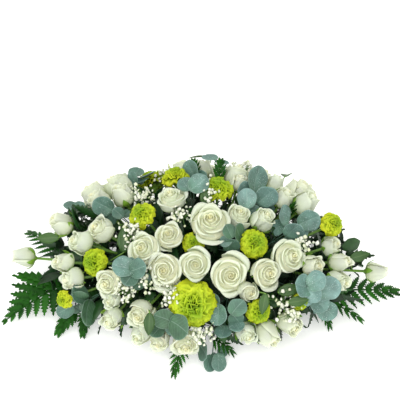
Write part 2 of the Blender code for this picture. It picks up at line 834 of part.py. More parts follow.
def seat_frond(bed, frond, starts, dice):
    """Finds a clear place and a clear stalk for one frond. Returns its skin and the stalk's path."""
    for turn in range(TRIES):
        rise = dice.uniform(-1, 1) * turn * 0.5
        roll = math.radians(dice.uniform(-1, 1) * turn * 0.6)
        flat = dice.uniform(0, 1)
        start = at_height(frond.start[0], frond.start[1], frond.start[2] + rise, frond.behind)
        tip = at_height(frond.tip[0], frond.tip[1], max(6, frond.tip[2] + rise * 0.5), frond.behind)
        rachis = bowed(start, (start + tip) / 2 + Vector((0, 0, frond.arch * MM)), tip, frond.pairs + 1)
        view = turned_back(EYE) if frond.behind else EYE
        view = (view - start).normalized()
        ahead = (tip - start).normalized()
        facing = view.lerp(Vector((0, 0, 1)), flat)
        facing = Matrix.Rotation(roll, 3, ahead) @ (facing - ahead * facing.dot(ahead)).normalized()
        if not bed.clear(frond_skin(rachis[:1], rachis, facing, frond.reach * MM * 1.03, FROND_THICK + 2 * CLEAR)):
            continue
        path = bed.find_way(starts, rachis[0], FROND_RIB, dice)
        if path:
            return frond_skin(path, rachis, facing, frond.reach * MM, FROND_THICK)
    return None


def build_fern(bed, name, fronds, cutters, dice):
    """One fern stem in the foam with its fronds."""
    places = [at_height(*frond.start, frond.behind) for frond in fronds]
    stem = bed.find_stem(sum(places, Vector()) / len(places), FERN_STEM, dice)
    parts = [knot(stem[1], KNOT_SHARE * FERN_STEM, FERN_LEAF), stalk_piece(stem, FERN_STEM, FERN_LEAF)]
    for frond in fronds:
        skin = seat_frond(bed, frond, [stem[1]], dice)
        if skin:
            parts.append(solid("frond", *skin, FERN_LEAF))
        else:
            print("no room for a frond of", name, frond)
    finish_sprig(bed, name, parts, cutters, stem, FERN_STEM)


def floret_skin(path, spare=0.0):
    """A stalk that opens into a small faceted bud at its end."""
    ahead = (path[-1] - path[-2]).normalized()
    way = path[:-1] + [path[-1] - ahead * FLORET, path[-1]]
    wide = [BREATH_STALK + spare] * len(path) + [FLORET + spare]
    return tube(way, wide, STALK_SIDES, path[-1] + ahead * FLORET)


def build_breath(bed, name, clouds, cutters, dice):
    """One much-branched spray: a stem in the foam, a branch to each cloud and a stalk to each floret."""
    places = [dome_point(cloud.across * MM, cloud.up * MM, cloud.behind) for cloud in clouds]
    stem = bed.find_stem(sum(places, Vector()) / len(places), BREATH_STEM, dice)
    parts = [knot(stem[1], KNOT_SHARE * BREATH_STEM, BREATH), stalk_piece(stem, BREATH_STEM, BREATH)]
    for cloud, place in zip(clouds, places):
        branch = find_branch(bed, stem[1], place, dice)
        if not branch:
            print("no way to a cloud of", name, cloud)
            continue
        parts.append(stalk_piece(branch, BREATH_STEM, BREATH))
        parts.append(knot(branch[-1], KNOT_SHARE * BREATH_STEM, BREATH))
        parts += [solid("floret", *skin, BREATH) for skin in seat_florets(bed, cloud, branch[-1], dice)]
    finish_sprig(bed, name, parts, cutters, stem, BREATH_STEM)


def find_branch(bed, fork, place, dice):
    """A clear way from a spray's fork to a little under the middle of a cloud."""
    inward = (fork - place).normalized()
    for turn in range(TRIES):
        aside = Vector([dice.uniform(-1, 1) for axis in range(3)]) * turn * 0.5 * MM
        branch = bed.find_way([fork], place + inward * CLOUD_DEPTH + aside, BREATH_STEM, dice)
        if branch and bed.clear(knot_skin(branch[-1], KNOT_SHARE * BREATH_STEM + CLEAR)):
            return branch
    return None


def seat_florets(bed, cloud, root, dice):
    """The skins of a cloud's florets, strewn over it, each as near the dome's surface as it has room."""
    skins = []
    starts = [root]
    for turn in range(2 * cloud.florets):
        if len(skins) == cloud.florets:
            break
        angle, out = dice.uniform(0, math.tau), math.sqrt(dice.uniform(0, 1)) * cloud.spread
        across = (cloud.across + math.cos(angle) * out) * MM
        up = (cloud.up + math.sin(angle) * out) * MM
        surface, ray = dome_point(across, up, cloud.behind), plan_ray(across, up, cloud.behind)
        for lift in FLORET_LIFTS:
            point = surface - ray * lift * MM
            bud = [point - (point - root).normalized() * 2 * FLORET, point]
            path = bed.find_way(starts, point, BREATH_STALK, dice) if bed.clear(floret_skin(bud, CLEAR)) else None
            if path and bed.clear(floret_skin(path, CLEAR)):
                skins.append(floret_skin(path))
                starts += path[1:-1]
                break
    return skins


def build_flowers(bed, cutters):
    """Heads, by cluster, and the stems of each foam point, with their leaves, fused into one body."""
    dice = random.Random(5)
    stems = {}
    ways = {}
    plan = [(name, cluster, rose_skin, ROSE_HEART, WHITE_PETAL) for name, cluster in ROSES.items()]
    plan += [(name, [bloom], carnation_skin, CARNATION_HEART, LIME_PETAL) for name, bloom in CARNATIONS.items()]
    for name, cluster, skin_of, heart, finish in plan:
        heads = []
        for bloom in cluster:
            place = placed(bloom, heart)
            heads.append(flower_head(name, skin_of(bloom), place, dice.uniform(0, math.tau), finish))
            stems.setdefault(place.number, []).append(flower_stem("stem", place, 0.2 * place.half))
            ways.setdefault(place.number, []).append(stem_path(place))
            cutters.append(stem_hole(stem_path(place)[:2], STEM_RADIUS, STEM_SIDES))
        bunch = fused(heads)
        bunch.name = name
        bed.add(bunch)
    bunches = {}
    for number, parts in sorted(stems.items()):
        bunches[number] = fused([knot(hub_place(number), HUB_KNOT, FLOWER_STEM)] + parts)
        bunches[number].name = f"flower_stems_{number + 1}"
        bed.add(bunches[number])
    add_rose_leaves(bed, bunches, ways, dice)


def add_rose_leaves(bed, bunches, ways, dice):
    """Sets each pointed leaf on a flower stem near it."""
    for leaf in ROSE_LEAVES:
        place = dome_point(leaf.across * MM, leaf.up * MM, leaf.behind)
        number = hub_of(place.x)[0]
        stems = bunches[number]
        starts = [path[0].lerp(path[1], share) for path in ways[number] for share in (0.6, 0.75, 0.9)]
        near = min(starts, key=lambda p: (p - place).length)
        found = seat_leaf(bed, leaf, starts, near, dice, rose_leaf_outline(), 0, (stems.name,))
        if not found:
            print("no room for a rose leaf", leaf)
            continue
        fused([stems, solid("leaf", *found[0], FLOWER_STEM)])
        bed.add(stems)


def stem_hole(path, radius, sides):
    """A cutter for the plain hole in which the foot of a stem stands."""
    along = (path[1] - path[0]).normalized()
    ends = [path[0] - along * MM, path[0] + along * HOLE_REACH]
    points, faces = tube(ends, [radius + HOLE_PLAY * 4 / sides] * 2, sides)
    return solid("hole", points, faces, FOAM_GREEN)


def slab(length, width, low, high, corner):
    """A closed block with its upright corners rounded, standing from one height to another."""
    made = bmesh.new()
    bmesh.ops.create_cube(made, size=1)
    size = Matrix.Diagonal((length, width, high - low, 1))
    bmesh.ops.transform(made, matrix=Matrix.Translation((0, 0, (low + high) / 2)) @ size, verts=made.verts)
    upright = [e for e in made.edges if abs(e.verts[0].co.z - e.verts[1].co.z) > (high - low) / 2]
    bmesh.ops.bevel(made, geom=upright, offset=corner, segments=CORNER_STEPS, affect="EDGES", profile=0.5)
    return made


def finished(made, name, finish):
    """Turns a bmesh into an object of the scene."""
    mesh = bpy.data.meshes.new(name)
    made.to_mesh(mesh)
    made.free()
    mesh.materials.append(material_of(finish))
    thing = bpy.data.objects.new(name, mesh)
    bpy.context.scene.collection.objects.link(thing)
    return thing


def build_foam():
    return finished(slab(FOAM_LENGTH, FOAM_WIDTH, FOAM_BOTTOM, FOAM_TOP, FOAM_CORNER), "foam", FOAM_GREEN)


def build_tray():
    """A shallow oblong tray: a rounded slab whose top is inset by the wall and pushed down to the floor."""
    spare = 2 * (TRAY_WALL + SEAT_GAP)
    corner = FOAM_CORNER + TRAY_WALL + SEAT_GAP
    made = slab(FOAM_LENGTH + spare, FOAM_WIDTH + spare, 0, TRAY_HEIGHT, corner)
    top = [face for face in made.faces if face.normal.z > 0.9]
    bmesh.ops.inset_region(made, faces=top, thickness=TRAY_WALL, use_even_offset=True)
    sunk = bmesh.ops.extrude_face_region(made, geom=top)
    floor = [part for part in sunk["geom"] if isinstance(part, bmesh.types.BMVert)]
    bmesh.ops.translate(made, vec=(0, 0, TRAY_FLOOR - TRAY_HEIGHT), verts=floor)
    bmesh.ops.delete(made, geom=[face for face in top if face.is_valid], context="FACES_ONLY")
    bmesh.ops.recalc_face_normals(made, faces=made.faces)
    return finished(made, "tray", TRAY_PLASTIC)


def main():
    for old in list(bpy.data.objects):
        bpy.data.objects.remove(old)
    bed = Bed()
    cutters = []
    foam = build_foam()
    bed.add(foam)
    bed.add(build_tray())
    build_flowers(bed, cutters)
    dice = random.Random(11)
    for name, leaves in GUM_SPRIGS.items():
        build_gum(bed, name, leaves, cutters, dice)
    for name, fronds in FERNS.items():
        build_fern(bed, name, fronds, cutters, dice)
    for name, clouds in BREATH_SPRAYS.items():
        build_breath(bed, name, clouds, cutters, dice)
    pockets = [knot(hub_place(number), HUB_POCKET, FOAM_GREEN) for number in range(HUB_COUNT)]
    boolean(foam, cutters + pockets, "DIFFERENCE")
    for thing in bpy.data.objects:
        thing.data.shade_smooth()
        thing.data.set_sharp_from_angle(angle=SHARP_EDGE)


main()
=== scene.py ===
# %% [markdown]
# # A rose and carnation table spray
# The imported model has every head, leaf, frond and floret in its right place and size, but as plain faceted
# solids. This lesson dresses it: each plain solid is replaced by thin petals, folded leaves and cut fronds
# that keep its place and form. It begins by loading the imported model.

# %% Load the imported model
import math
import random

import bmesh
import bpy
from mathutils import Matrix, Vector


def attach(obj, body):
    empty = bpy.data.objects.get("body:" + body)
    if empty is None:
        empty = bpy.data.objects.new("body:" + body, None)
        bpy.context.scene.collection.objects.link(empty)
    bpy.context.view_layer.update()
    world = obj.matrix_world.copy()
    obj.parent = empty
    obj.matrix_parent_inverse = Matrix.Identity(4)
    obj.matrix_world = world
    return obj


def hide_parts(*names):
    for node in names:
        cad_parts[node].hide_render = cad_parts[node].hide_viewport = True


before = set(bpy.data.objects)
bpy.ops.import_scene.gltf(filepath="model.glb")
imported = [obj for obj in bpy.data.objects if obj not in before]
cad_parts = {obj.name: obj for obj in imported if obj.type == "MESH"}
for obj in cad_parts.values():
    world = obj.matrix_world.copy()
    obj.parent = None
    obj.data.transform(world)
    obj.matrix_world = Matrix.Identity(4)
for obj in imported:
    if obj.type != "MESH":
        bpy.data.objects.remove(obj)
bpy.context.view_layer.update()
MM = 0.001

# %% [markdown]
# ## The camera
# The spray is seen from the front and well above, at about 50 degrees, from just under two metres. The
# picture is square. The focal length and the tilt are given in pixels of that picture, as a photographer's
# measurements would be, and turned into an angle of view.

# %% Set up the camera
VIEW_TILT = math.radians(50)
VIEW_RANGE = 1.9
PICTURE_SIDE = 400
FOCAL_LENGTH = 905
FOOT_BELOW_MIDDLE = 81
EYE = Vector((0, -math.cos(VIEW_TILT), math.sin(VIEW_TILT))) * VIEW_RANGE

pitch = VIEW_TILT - math.atan(FOOT_BELOW_MIDDLE / FOCAL_LENGTH)
forward = Vector((0, math.cos(pitch), -math.sin(pitch)))
bpy.ops.object.camera_add(location=EYE, rotation=forward.to_track_quat("-Z", "Y").to_euler())
camera = bpy.context.object
camera.data.angle = 2 * math.atan(PICTURE_SIDE / 2 / FOCAL_LENGTH)
bpy.context.scene.camera = camera
print("camera at", [round(x, 2) for x in camera.location], "lens", round(camera.data.lens, 1), "mm")

# %% [markdown]
# ## The planting plan
# A florist's plan says where each bloom is seen from the front: so many millimetres across and up on a sheet
# that stands square to the view, how wide the head is and how far it has opened. A fifth number lifts a head
# off its neighbours or sinks it. Rows behind are the mirror image, for the side away from the viewer. The
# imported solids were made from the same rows, so the petals sit where the plain heads are.

# %% Write down the roses and carnations
from dataclasses import dataclass


@dataclass
class Bloom:
    """One flower head of the plan, in millimetres."""

    across: float
    up: float
    width: float
    openness: float
    lift: float = 0
    behind: bool = False


ROSE_ROWS = {
    "roses_left_tip": [(-372, 50, 52, 0.10)],
    "roses_left_upper": [(-294, 122, 62, 0.35)],
    "roses_left": [(-211, 107, 68, 0.60), (-254, 82, 64, 0.45), (-291, 40, 53, 0.20),
                   (-276, 2, 60, 0.50, -8)],
    "roses_left_front": [(-188, -4, 70, 0.80, 5), (-185, -40, 46, 0.50), (-185, -80, 60, 0.40)],
    "roses_front_low": [(-122, -68, 71, 0.70), (-124, -109, 60, 0.40), (-85, -125, 55, 0.60),
                        (-29, -130, 70, 0.80)],
    "roses_front_right": [(98, -110, 56, 0.40), (143, -112, 66, 0.20), (190, -91, 66, 0.25)],
    "roses_centre": [(-116, 66, 82, 0.85), (-64, 94, 68, 0.90), (-73, 22, 80, 0.90), (-11, 33, 76, 0.90),
                     (61, 13, 88, 1.00), (102, -23, 55, 0.50), (138, 17, 76, 0.90), (188, 50, 81, 0.80),
                     (240, 31, 56, 0.40)],
    "roses_top": [(22, 122, 92, 1.00), (81, 136, 65, 0.70), (134, 132, 64, 0.40)],
    "roses_top_left": [(-61, 172, 72, 0.90)],
    "roses_right": [(284, 76, 51, 0.40, -6), (296, 40, 53, 0.10), (291, -2, 61, 0.35)],
    "roses_right_tip": [(372, 19, 50, 0.10)],
    "roses_back_left": [(-166, 184, 62, 0.25), (-217, 168, 64, 0.50)],
    "roses_back": [(6, 237, 54, 0.50)],
    "roses_back_right": [(226, 166, 68, 0.30), (178, 176, 58, 0.50), (158, 204, 54, 0.40),
                         (82, 208, 50, 0.50)],
}
ROSE_ROWS_BEHIND = {
    "roses_back_left": [(-193, 14, 72, 0.60), (-243, 34, 66, 0.50), (-243, -40, 64, 0.50),
                        (-192, -50, 72, 0.60)],
    "roses_back": [(-44, -36, 74, 0.60), (-32, -99, 72, 0.70), (32, -90, 68, 0.60)],
    "roses_back_right": [(85, 22, 70, 0.70), (143, -18, 70, 0.60), (225, 23, 73, 0.60), (240, -36, 68, 0.50)],
}
CARNATION_ROWS = {
    "carnation_front": (-15, -52, 98, 0.90),
    "carnation_left": (-232, 39, 59, 0.90, -10),
    "carnation_left_upper": (-124, 141, 58, 0.80),
    "carnation_top_left": (-52, 222, 58, 0.80),
    "carnation_top": (38, 197, 66, 0.90),
    "carnation_right_centre": (116, 80, 62, 0.80),
    "carnation_right_front": (125, -67, 54, 0.80, -3),
    "carnation_right_small": (212, -44, 40, 0.50),
    "carnation_right_end": (276, 118, 42, 0.60, 16),
    "carnation_left_small": (-278, -36, 38, 0.50, 10),
    "carnation_middle": (-12, 86, 48, 0.70, -18),
    "carnation_rear_left": (-118, -82, 66, 0.80),
    "carnation_rear_right": (108, -84, 66, 0.80),
}
ROSES = {name: [Bloom(*row) for row in rows] for name, rows in ROSE_ROWS.items()}
for name, rows in ROSE_ROWS_BEHIND.items():
    ROSES[name] += [Bloom(*row, behind=True) for row in rows]
CARNATIONS = {name: Bloom(*row, behind="rear" in name) for name, row in CARNATION_ROWS.items()}
# A head's height over half its width, as a bud and fully open.
ROSE_HEART = (2.12, 1.10)
CARNATION_HEART = (1.55, 1.16)
print(sum(map(len, ROSES.values())), "roses and", len(CARNATIONS), "carnations")

# %% [markdown]
# ## From plan to place
# The heads lie on a dome. A ray from the viewer's eye through a point of the plan meets the dome at the
# middle of the head, and the head faces away from the point inside the foam where its stem starts.

# %% Find where each head stands
ACROSS = Vector((1, 0, 0))
VIEW_UP = Vector((0, math.sin(VIEW_TILT), math.cos(VIEW_TILT)))
DOME_HALF_LENGTH = 385 * MM
DOME_HALF_WIDTH = 215 * MM
DOME_FOOT = 50 * MM
DOME_RISE = 175 * MM
DOME_TAPER = 1.6
RAY_REACH = 400
HUB_COUNT = 6
HUB_SPACING = 54 * MM
HUB_HEIGHT = 46 * MM
HUB_REACH = 130 * MM


def turned_back(vector):
    """The same vector as the back of the spray has it."""
    return Vector((vector.x, -vector.y, vector.z))


def dome_depth(point):
    """How far inside the dome a point is: 0 on it, 1 at its heart and negative outside."""
    along = (abs(point.x) / DOME_HALF_LENGTH) ** DOME_TAPER
    return 1 - along - (point.y / DOME_HALF_WIDTH) ** 2 - ((point.z - DOME_FOOT) / DOME_RISE) ** 2


def dome_point(across, up, behind=False):
    """Where the plan's ray, in metres, first meets the dome, or else passes nearest to it."""
    ray = (ACROSS * across + VIEW_UP * up - EYE).normalized()
    way = [EYE + ray * (VIEW_RANGE + step * MM) for step in range(-RAY_REACH, RAY_REACH)]
    hits = (p for p in way if dome_depth(p) > 0)
    point = next(hits, None) or max(way, key=dome_depth)
    return turned_back(point) if behind else point


def hub_of(x):
    """The number and the place of the foam point that the stem of a flower at x comes from."""
    number = min(HUB_COUNT - 1, max(0, int(x / HUB_REACH + HUB_COUNT / 2)))
    return number, Vector(((number - (HUB_COUNT - 1) / 2) * HUB_SPACING, 0, HUB_HEIGHT))


def placed(bloom, heart):
    """A head's base, the way it faces, half its width, its foam point and that point's number."""
    middle = dome_point(bloom.across * MM, bloom.up * MM, bloom.behind)
    half = bloom.width / 2 * MM * (middle - EYE).length / VIEW_RANGE
    number, hub = hub_of(middle.x)
    axis = (middle - hub).normalized()
    height = (heart[0] + (heart[1] - heart[0]) * bloom.openness) * half
    return middle + axis * (bloom.lift * MM - height / 2), axis, half, hub, number


print("the first head's base:", [round(x, 3) for x in placed(ROSES["roses_left_tip"][0], ROSE_HEART)[0]])

# %% [markdown]
# ## Small helpers
# A petal or a leaf starts as a flat grid. Its vertices are then moved by a formula of two numbers: how far
# across the petal a vertex is, from -1 to 1, and how far along it, from 0 to 1. A Solidify modifier gives the
# sheet its thickness. What repeats is made once and copied, and each copy keeps its place in its own mesh.

# %% Define the sheet and copy helpers
masters = []


def only(*things):
    """Selects these objects and nothing else. With the camera alone, no mesh is left selected."""
    bpy.ops.object.select_all(action="DESELECT")
    for thing in things:
        thing.select_set(True)
    bpy.context.view_layer.objects.active = things[0]


def with_modifier(thing, kind, **settings):
    """Adds one modifier, sets it and applies it."""
    only(thing)
    step = thing.modifiers.new(kind.title(), kind)
    for name, value in settings.items():
        setattr(step, name, value)
    bpy.ops.object.modifier_apply(modifier=step.name)
    return thing


def joined(things, name):
    """All of these as one object."""
    only(*things)
    if len(things) > 1:
        bpy.ops.object.join()
    things[0].name = name
    return things[0]


def marked(thing, name, values):
    """Writes one number for each vertex as an attribute that materials can read."""
    layer = thing.data.attributes.get(name) or thing.data.attributes.new(name, "FLOAT", "POINT")
    layer.data.foreach_set("value", values)
    return thing


def sheet(across, along, shape, layer=0.0):
    """A grid whose vertices go to shape(u, v), marked with its layer and how far along it each vertex is."""
    only(camera)
    bpy.ops.mesh.primitive_grid_add(x_subdivisions=across, y_subdivisions=along, size=2)
    thing = bpy.context.object
    plan = [(v.co.x, (v.co.y + 1) / 2) for v in thing.data.vertices]
    for vertex, (u, v) in zip(thing.data.vertices, plan):
        vertex.co = shape(u, v)
    marked(thing, "along", [v for u, v in plan])
    marked(thing, "layer", [layer] * len(plan))
    return thing


def smoothed(thing):
    """The same thing, shaded smooth."""
    only(thing)
    bpy.ops.object.shade_smooth()
    return thing


def thickened(thing, thickness):
    """Gives a sheet its thickness and smooths it."""
    return smoothed(with_modifier(thing, "SOLIDIFY", thickness=thickness, offset=0))


def master(thing, name):
    """Keeps a finished shape for copying."""
    thing.name = name
    masters.append(thing)
    print(name, "has", sum(len(p.vertices) - 2 for p in thing.data.polygons), "triangles")
    return thing


def copied(original, place, chance):
    """A copy with its own mesh, put in its place, and marked with a number that varies its colour."""
    thing = bpy.data.objects.new(original.name, original.data.copy())
    bpy.context.scene.collection.objects.link(thing)
    thing.data.transform(place)
    return marked(thing, "chance", [chance] * len(thing.data.vertices))


def standing(point, axis, size, spin=0.0):
    """The place of a thing that stands on a point with its +Z along an axis."""
    turn = axis.to_track_quat("Z", "Y").to_matrix().to_4x4() @ Matrix.Rotation(spin, 4, "Z")
    return Matrix.Translation(point) @ turn @ Matrix.Scale(size, 4)


def mixed(first, second, share):
    """A number between two others: the first at share 0, the second at share 1."""
    return first + (second - first) * share


def bezier(points, t):
    """A point on the curve with these four control points, each a tuple of radius and height."""
    shares = ((1 - t) ** 3, 3 * t * (1 - t) ** 2, 3 * t * t * (1 - t), t ** 3)
    return [sum(share * point[k] for share, point in zip(shares, points)) for k in range(2)]


print("helpers are ready")

# %% [markdown]
# ## A rose
# A rose's petals wrap its axis in a spiral, each one turned on from the last by the golden angle. The inner
# ones stand high and close over the heart, and the outer ones lean out and roll their lips back. Each petal
# is drawn as a side profile, a curve of radius and height, and is wrapped round the axis by its own width.
# One number, the openness, runs all the profiles from a tight bud to a full bloom.

# %% Shape one rose petal
GOLDEN_ANGLE = math.radians(137.5)
PETAL_GRID = (9, 8)
PETAL_THICKNESS = 0.016
PETAL_TAPER = 0.17
ROLL_START = 0.62
HEART_DEPTH = 0.36
HEART_TINT = 0.2


def petal_profile(t, openness, tall, lip):
    """The control points of a petal's side view, from its foot to its lip, at the share t from the heart."""
    belly = mixed(0.34 + 0.80 * t, 0.20 + 0.78 * t, openness)
    flare = mixed(0.02, 0.32, openness) * t
    return [(0.06 + 0.06 * t, 0), (belly * 1.3, 0.08 * tall), (lip - flare, 0.82 * tall), (lip, tall)]


def lip_of(t, openness):
    """The radius and the height of a petal's lip, at the share t from the heart."""
    radius = mixed(0.03 + 0.32 * t, 0.03 + 0.93 * t ** 1.3, openness)
    return radius, mixed(mixed(1.90, 2.00, t), mixed(1.16, 0.74, t ** 1.3), openness ** 0.8)


def rose_petal(number, count, openness, dice):
    """One petal of a rose of radius 1. The first petal is the innermost."""
    t = number / (count - 1)
    turn = number * GOLDEN_ANGLE + dice.uniform(-0.2, 0.2)
    lip, tall = lip_of(t, openness)
    lip *= dice.uniform(0.93, 1.10)
    tall *= dice.uniform(0.94, 1.05)
    profile = petal_profile(t, openness, tall, lip)
    curl = t ** 1.3 * mixed(0.45, 1.0, openness) * dice.uniform(0.7, 1.3)
    reach = mixed(2.1, mixed(1.30, 1.12, openness), t ** 0.8)
    sway, point = dice.uniform(0, math.tau), dice.uniform(0.03, 0.13)
    overlap = mixed(0.10, 0.16, t)

    def shape(u, v):
        s = v * (1 - PETAL_TAPER * abs(u) ** 2.4)
        radius, height = bezier(profile, s)
        roll = max(0, (s - ROLL_START) / (1 - ROLL_START))
        radius += curl * (0.15 * roll ** 2 + 0.04 * abs(u) ** 3 * roll)
        height -= curl * (0.13 * roll ** 3 + 0.14 * abs(u) ** 2.5 * roll)
        height += (point * (1 - abs(u)) ** 2 + 0.030 * math.sin(4.5 * u + sway)) * roll * (0.15 + t)
        radius *= 1 + overlap * u - 0.09 * u * u * s + 0.035 * math.sin(5 * u + sway) * s
        angle = turn + u * reach * (0.72 + 0.28 * math.sin(math.pi * min(1, 0.15 + 0.8 * v)))
        return Vector((math.cos(angle) * radius, math.sin(angle) * radius, height))

    return sheet(*PETAL_GRID, shape, t)


def rose_heart(openness):
    """The inner petals, as one dome a little below the lips. It closes the slots between the petals."""

    def shape(u, v):
        radius, tall = lip_of(1 - v, openness)
        turn = u * math.pi
        radius = radius * 0.90 * (v < 1)
        height = tall - HEART_DEPTH * (0.9 - 0.5 * v ** 3)
        return Vector((math.cos(turn) * radius, math.sin(turn) * radius, height))

    dome = with_modifier(sheet(24, 8, shape, HEART_TINT), "WELD", merge_threshold=0.001)
    return marked(dome, "along", [0.8] * len(dome.data.vertices))


print("a petal is", PETAL_GRID[0] * PETAL_GRID[1], "faces before it gets its thickness")

# %% [markdown]
# Six masters are enough: two full blooms, two half-open ones and two buds. Copies are turned, so that no two
# neighbours look alike.

# %% Build the rose masters
ROSE_KINDS = [("rose_full_a", 1.0, 17), ("rose_full_b", 0.88, 16), ("rose_half_a", 0.62, 15),
              ("rose_half_b", 0.48, 14), ("rose_bud_a", 0.32, 12), ("rose_bud_b", 0.12, 10)]


def build_rose(name, openness, count):
    dice = random.Random(name)
    petals = [rose_heart(openness)]
    petals += [rose_petal(number, count, openness, dice) for number in range(count)]
    return master(thickened(joined(petals, name), PETAL_THICKNESS), name)


rose_masters = [(openness, build_rose(name, openness, count)) for name, openness, count in ROSE_KINDS]

# %% [markdown]
# ## A carnation
# A carnation is a tight pompon of fan-shaped petals with frilled, toothed rims. Each petal has a narrow claw
# that spreads into a fan, waves from side to side and ends in a saw-toothed edge. The outer ones lie almost
# flat and the inner ones stand up.

# %% Build the carnation master
CARNATION_PETALS = 66
CARNATION_THICKNESS = 0.020
TOOTH = 0.028
RUFFLE = 0.17


def carnation_petal(number, dice):
    """One petal of a carnation of radius 1, from the heart outwards."""
    t = (number + 0.5) / CARNATION_PETALS
    turn = Matrix.Rotation(number * GOLDEN_ANGLE + dice.uniform(-0.4, 0.4), 3, "Z")
    lean = math.radians(mixed(0, 100, t ** 0.7) + dice.uniform(-16, 16))
    length = mixed(0.86, 0.92, t) * dice.uniform(0.84, 1.10)
    spread = mixed(0.30, 0.52, t) * dice.uniform(0.85, 1.25)
    sway, beats = dice.uniform(0, math.tau), dice.choice((4, 5, 7))
    twist = Matrix.Rotation(dice.uniform(-0.7, 0.7), 3, "Z")

    def shape(u, v):
        tooth = TOOTH * (1 if round((u + 1) * 4) % 2 else -1) * (v > 0.99)
        reach = length * (v * (1 - 0.14 * u * u) + tooth)
        fan = spread * (0.10 + 0.90 * v ** 1.4)
        ruffle = RUFFLE * math.sin(beats * u + sway) * v ** 1.6
        out = reach * math.sin(lean * (0.4 + 0.6 * v)) + ruffle * math.cos(lean)
        high = 0.30 + reach * math.cos(lean * (0.4 + 0.6 * v)) - ruffle * math.sin(lean)
        body = Vector((out, u * fan, high * 0.95))
        return turn @ (twist @ body).lerp(body, t)

    return sheet(8, 4, shape, t)


carnation_dice = random.Random(3)
carnation_petals = [carnation_petal(number, carnation_dice) for number in range(CARNATION_PETALS)]
pompon = thickened(joined(carnation_petals, "carnation"), CARNATION_THICKNESS)
carnation_master = master(pompon, "carnation")

# %% [markdown]
# ## The green under a rose
# Each head sits on a swollen green cup with five pointed sepals. The cup starts as a cone primitive, and the
# sepals are small grids that taper. Under an open rose they arch out and droop, and on a bud they still hug
# the outer petals.

# %% Build the calyx masters
BUD_PROFILE = petal_profile(1, 0.15, 1.95, 0.42)
SEPAL_HUG = 0.44
SEPALS = 5
SEPAL_THICKNESS = 0.02


def sepal(number, hugging):
    """One of the five green points under a head."""
    turn = Matrix.Rotation(number * math.tau / SEPALS, 3, "Z")

    def open_shape(u, v):
        half = 0.16 * (1 - v) ** 0.8 + 0.01
        arch = 0.02 + 0.42 * (v - v * v) + 0.03 * u * u
        return turn @ Vector((0.16 + 0.55 * v - 0.06 * v * v, u * half, arch))

    def hugging_shape(u, v):
        radius, height = bezier(BUD_PROFILE, SEPAL_HUG * v)
        radius += 0.05 + 0.13 * v ** 2
        angle = u * 0.52 * (1 - v) ** 0.75
        return turn @ Vector((math.cos(angle) * radius, math.sin(angle) * radius, height))

    return sheet(2, 6, hugging_shape if hugging else open_shape, 0.7)


def build_calyx(name, hugging):
    """The cup and its sepals for a head of radius 1."""
    only(camera)
    bpy.ops.mesh.primitive_cone_add(vertices=10, radius1=0.07, radius2=0.24, depth=0.30,
                                    location=(0, 0, -0.05))
    cup = bpy.context.object
    bpy.ops.object.transform_apply()
    bpy.ops.object.mode_set(mode="EDIT")
    bpy.ops.mesh.select_all(action="SELECT")
    bpy.ops.mesh.subdivide(number_cuts=2)
    bpy.ops.object.mode_set(mode="OBJECT")
    for vertex in cup.data.vertices:
        swell = 1 + 0.35 * math.sin(math.pi * min(1, max(0, (vertex.co.z + 0.20) / 0.30)))
        vertex.co.x *= swell
        vertex.co.y *= swell
    marked(cup, "layer", [0.9] * len(cup.data.vertices))
    sepals = joined([sepal(number, hugging) for number in range(SEPALS)], name)
    with_modifier(sepals, "SOLIDIFY", thickness=SEPAL_THICKNESS, offset=0)
    return master(smoothed(joined([sepals, cup], name)), name)


open_calyx, bud_calyx = build_calyx("calyx_open", False), build_calyx("calyx_bud", True)

# %% [markdown]
# ## Leaves
# Two kinds of leaf: the round, cupped, waxy leaf of the silver dollar gum, and the pointed rose leaf with a
# toothed rim and a fold along its midrib. A grid becomes a disc by pulling its corners in, so the veins can
# follow the leaf's own map.

# %% Build the leaf masters
LEAF_THICKNESS = 0.03
ROSE_TEETH = 9


def gum_shape(u, v):
    """A round leaf: cupped, creased along its midrib and waved."""
    w = 2 * v - 1
    x, y = u * math.sqrt(1 - w * w / 2), w * math.sqrt(1 - u * u / 2)
    cup = 0.16 * (x * x + y * y)
    crease = 0.07 * math.exp(-(x / 0.12) ** 2)
    wave = 0.03 * math.sin(3 * y + 1.5 * x)
    return Vector((x * (1 + 0.04 * math.sin(5 * y)), y, cup - crease + wave))


def rose_leaf_shape(u, v):
    """A pointed leaf: folded along its midrib, with a saw-toothed rim."""
    w = 2 * v - 1
    half = math.sin(math.pi * min(1, 0.04 + 0.96 * v) ** 0.85) ** 0.8
    saw = (v * ROSE_TEETH) % 1
    half *= 1 - 0.10 * saw * (abs(u) > 0.9)
    return Vector((u * half * 0.92, w, 0.14 * abs(u) * half - 0.10 * w * w))


gum_master = master(thickened(sheet(12, 10, gum_shape), LEAF_THICKNESS), "gum_leaf")
rose_leaf_master = master(thickened(sheet(4, 2 * ROSE_TEETH, rose_leaf_shape), LEAF_THICKNESS), "rose_leaf")
base_leaf_master = master(thickened(sheet(2, 6, rose_leaf_shape), LEAF_THICKNESS), "base_leaf")

# %% [markdown]
# ## Fern
# A leatherleaf frond is cut twice: the frond into leaflets, and each leaflet into blunt lobes, almost to its
# rib. One leaflet is a grid three vertices wide. Every other row is drawn in to half its width, and the row
# between spreads out and forwards as a lobe. There are hundreds of copies, so the leaflet has few faces.

# %% Build the fern leaflet master
LOBES = 7
LOBE_NOTCH = 0.52
LOBE_SWEEP = 0.06
FERN_THICKNESS = 0.009


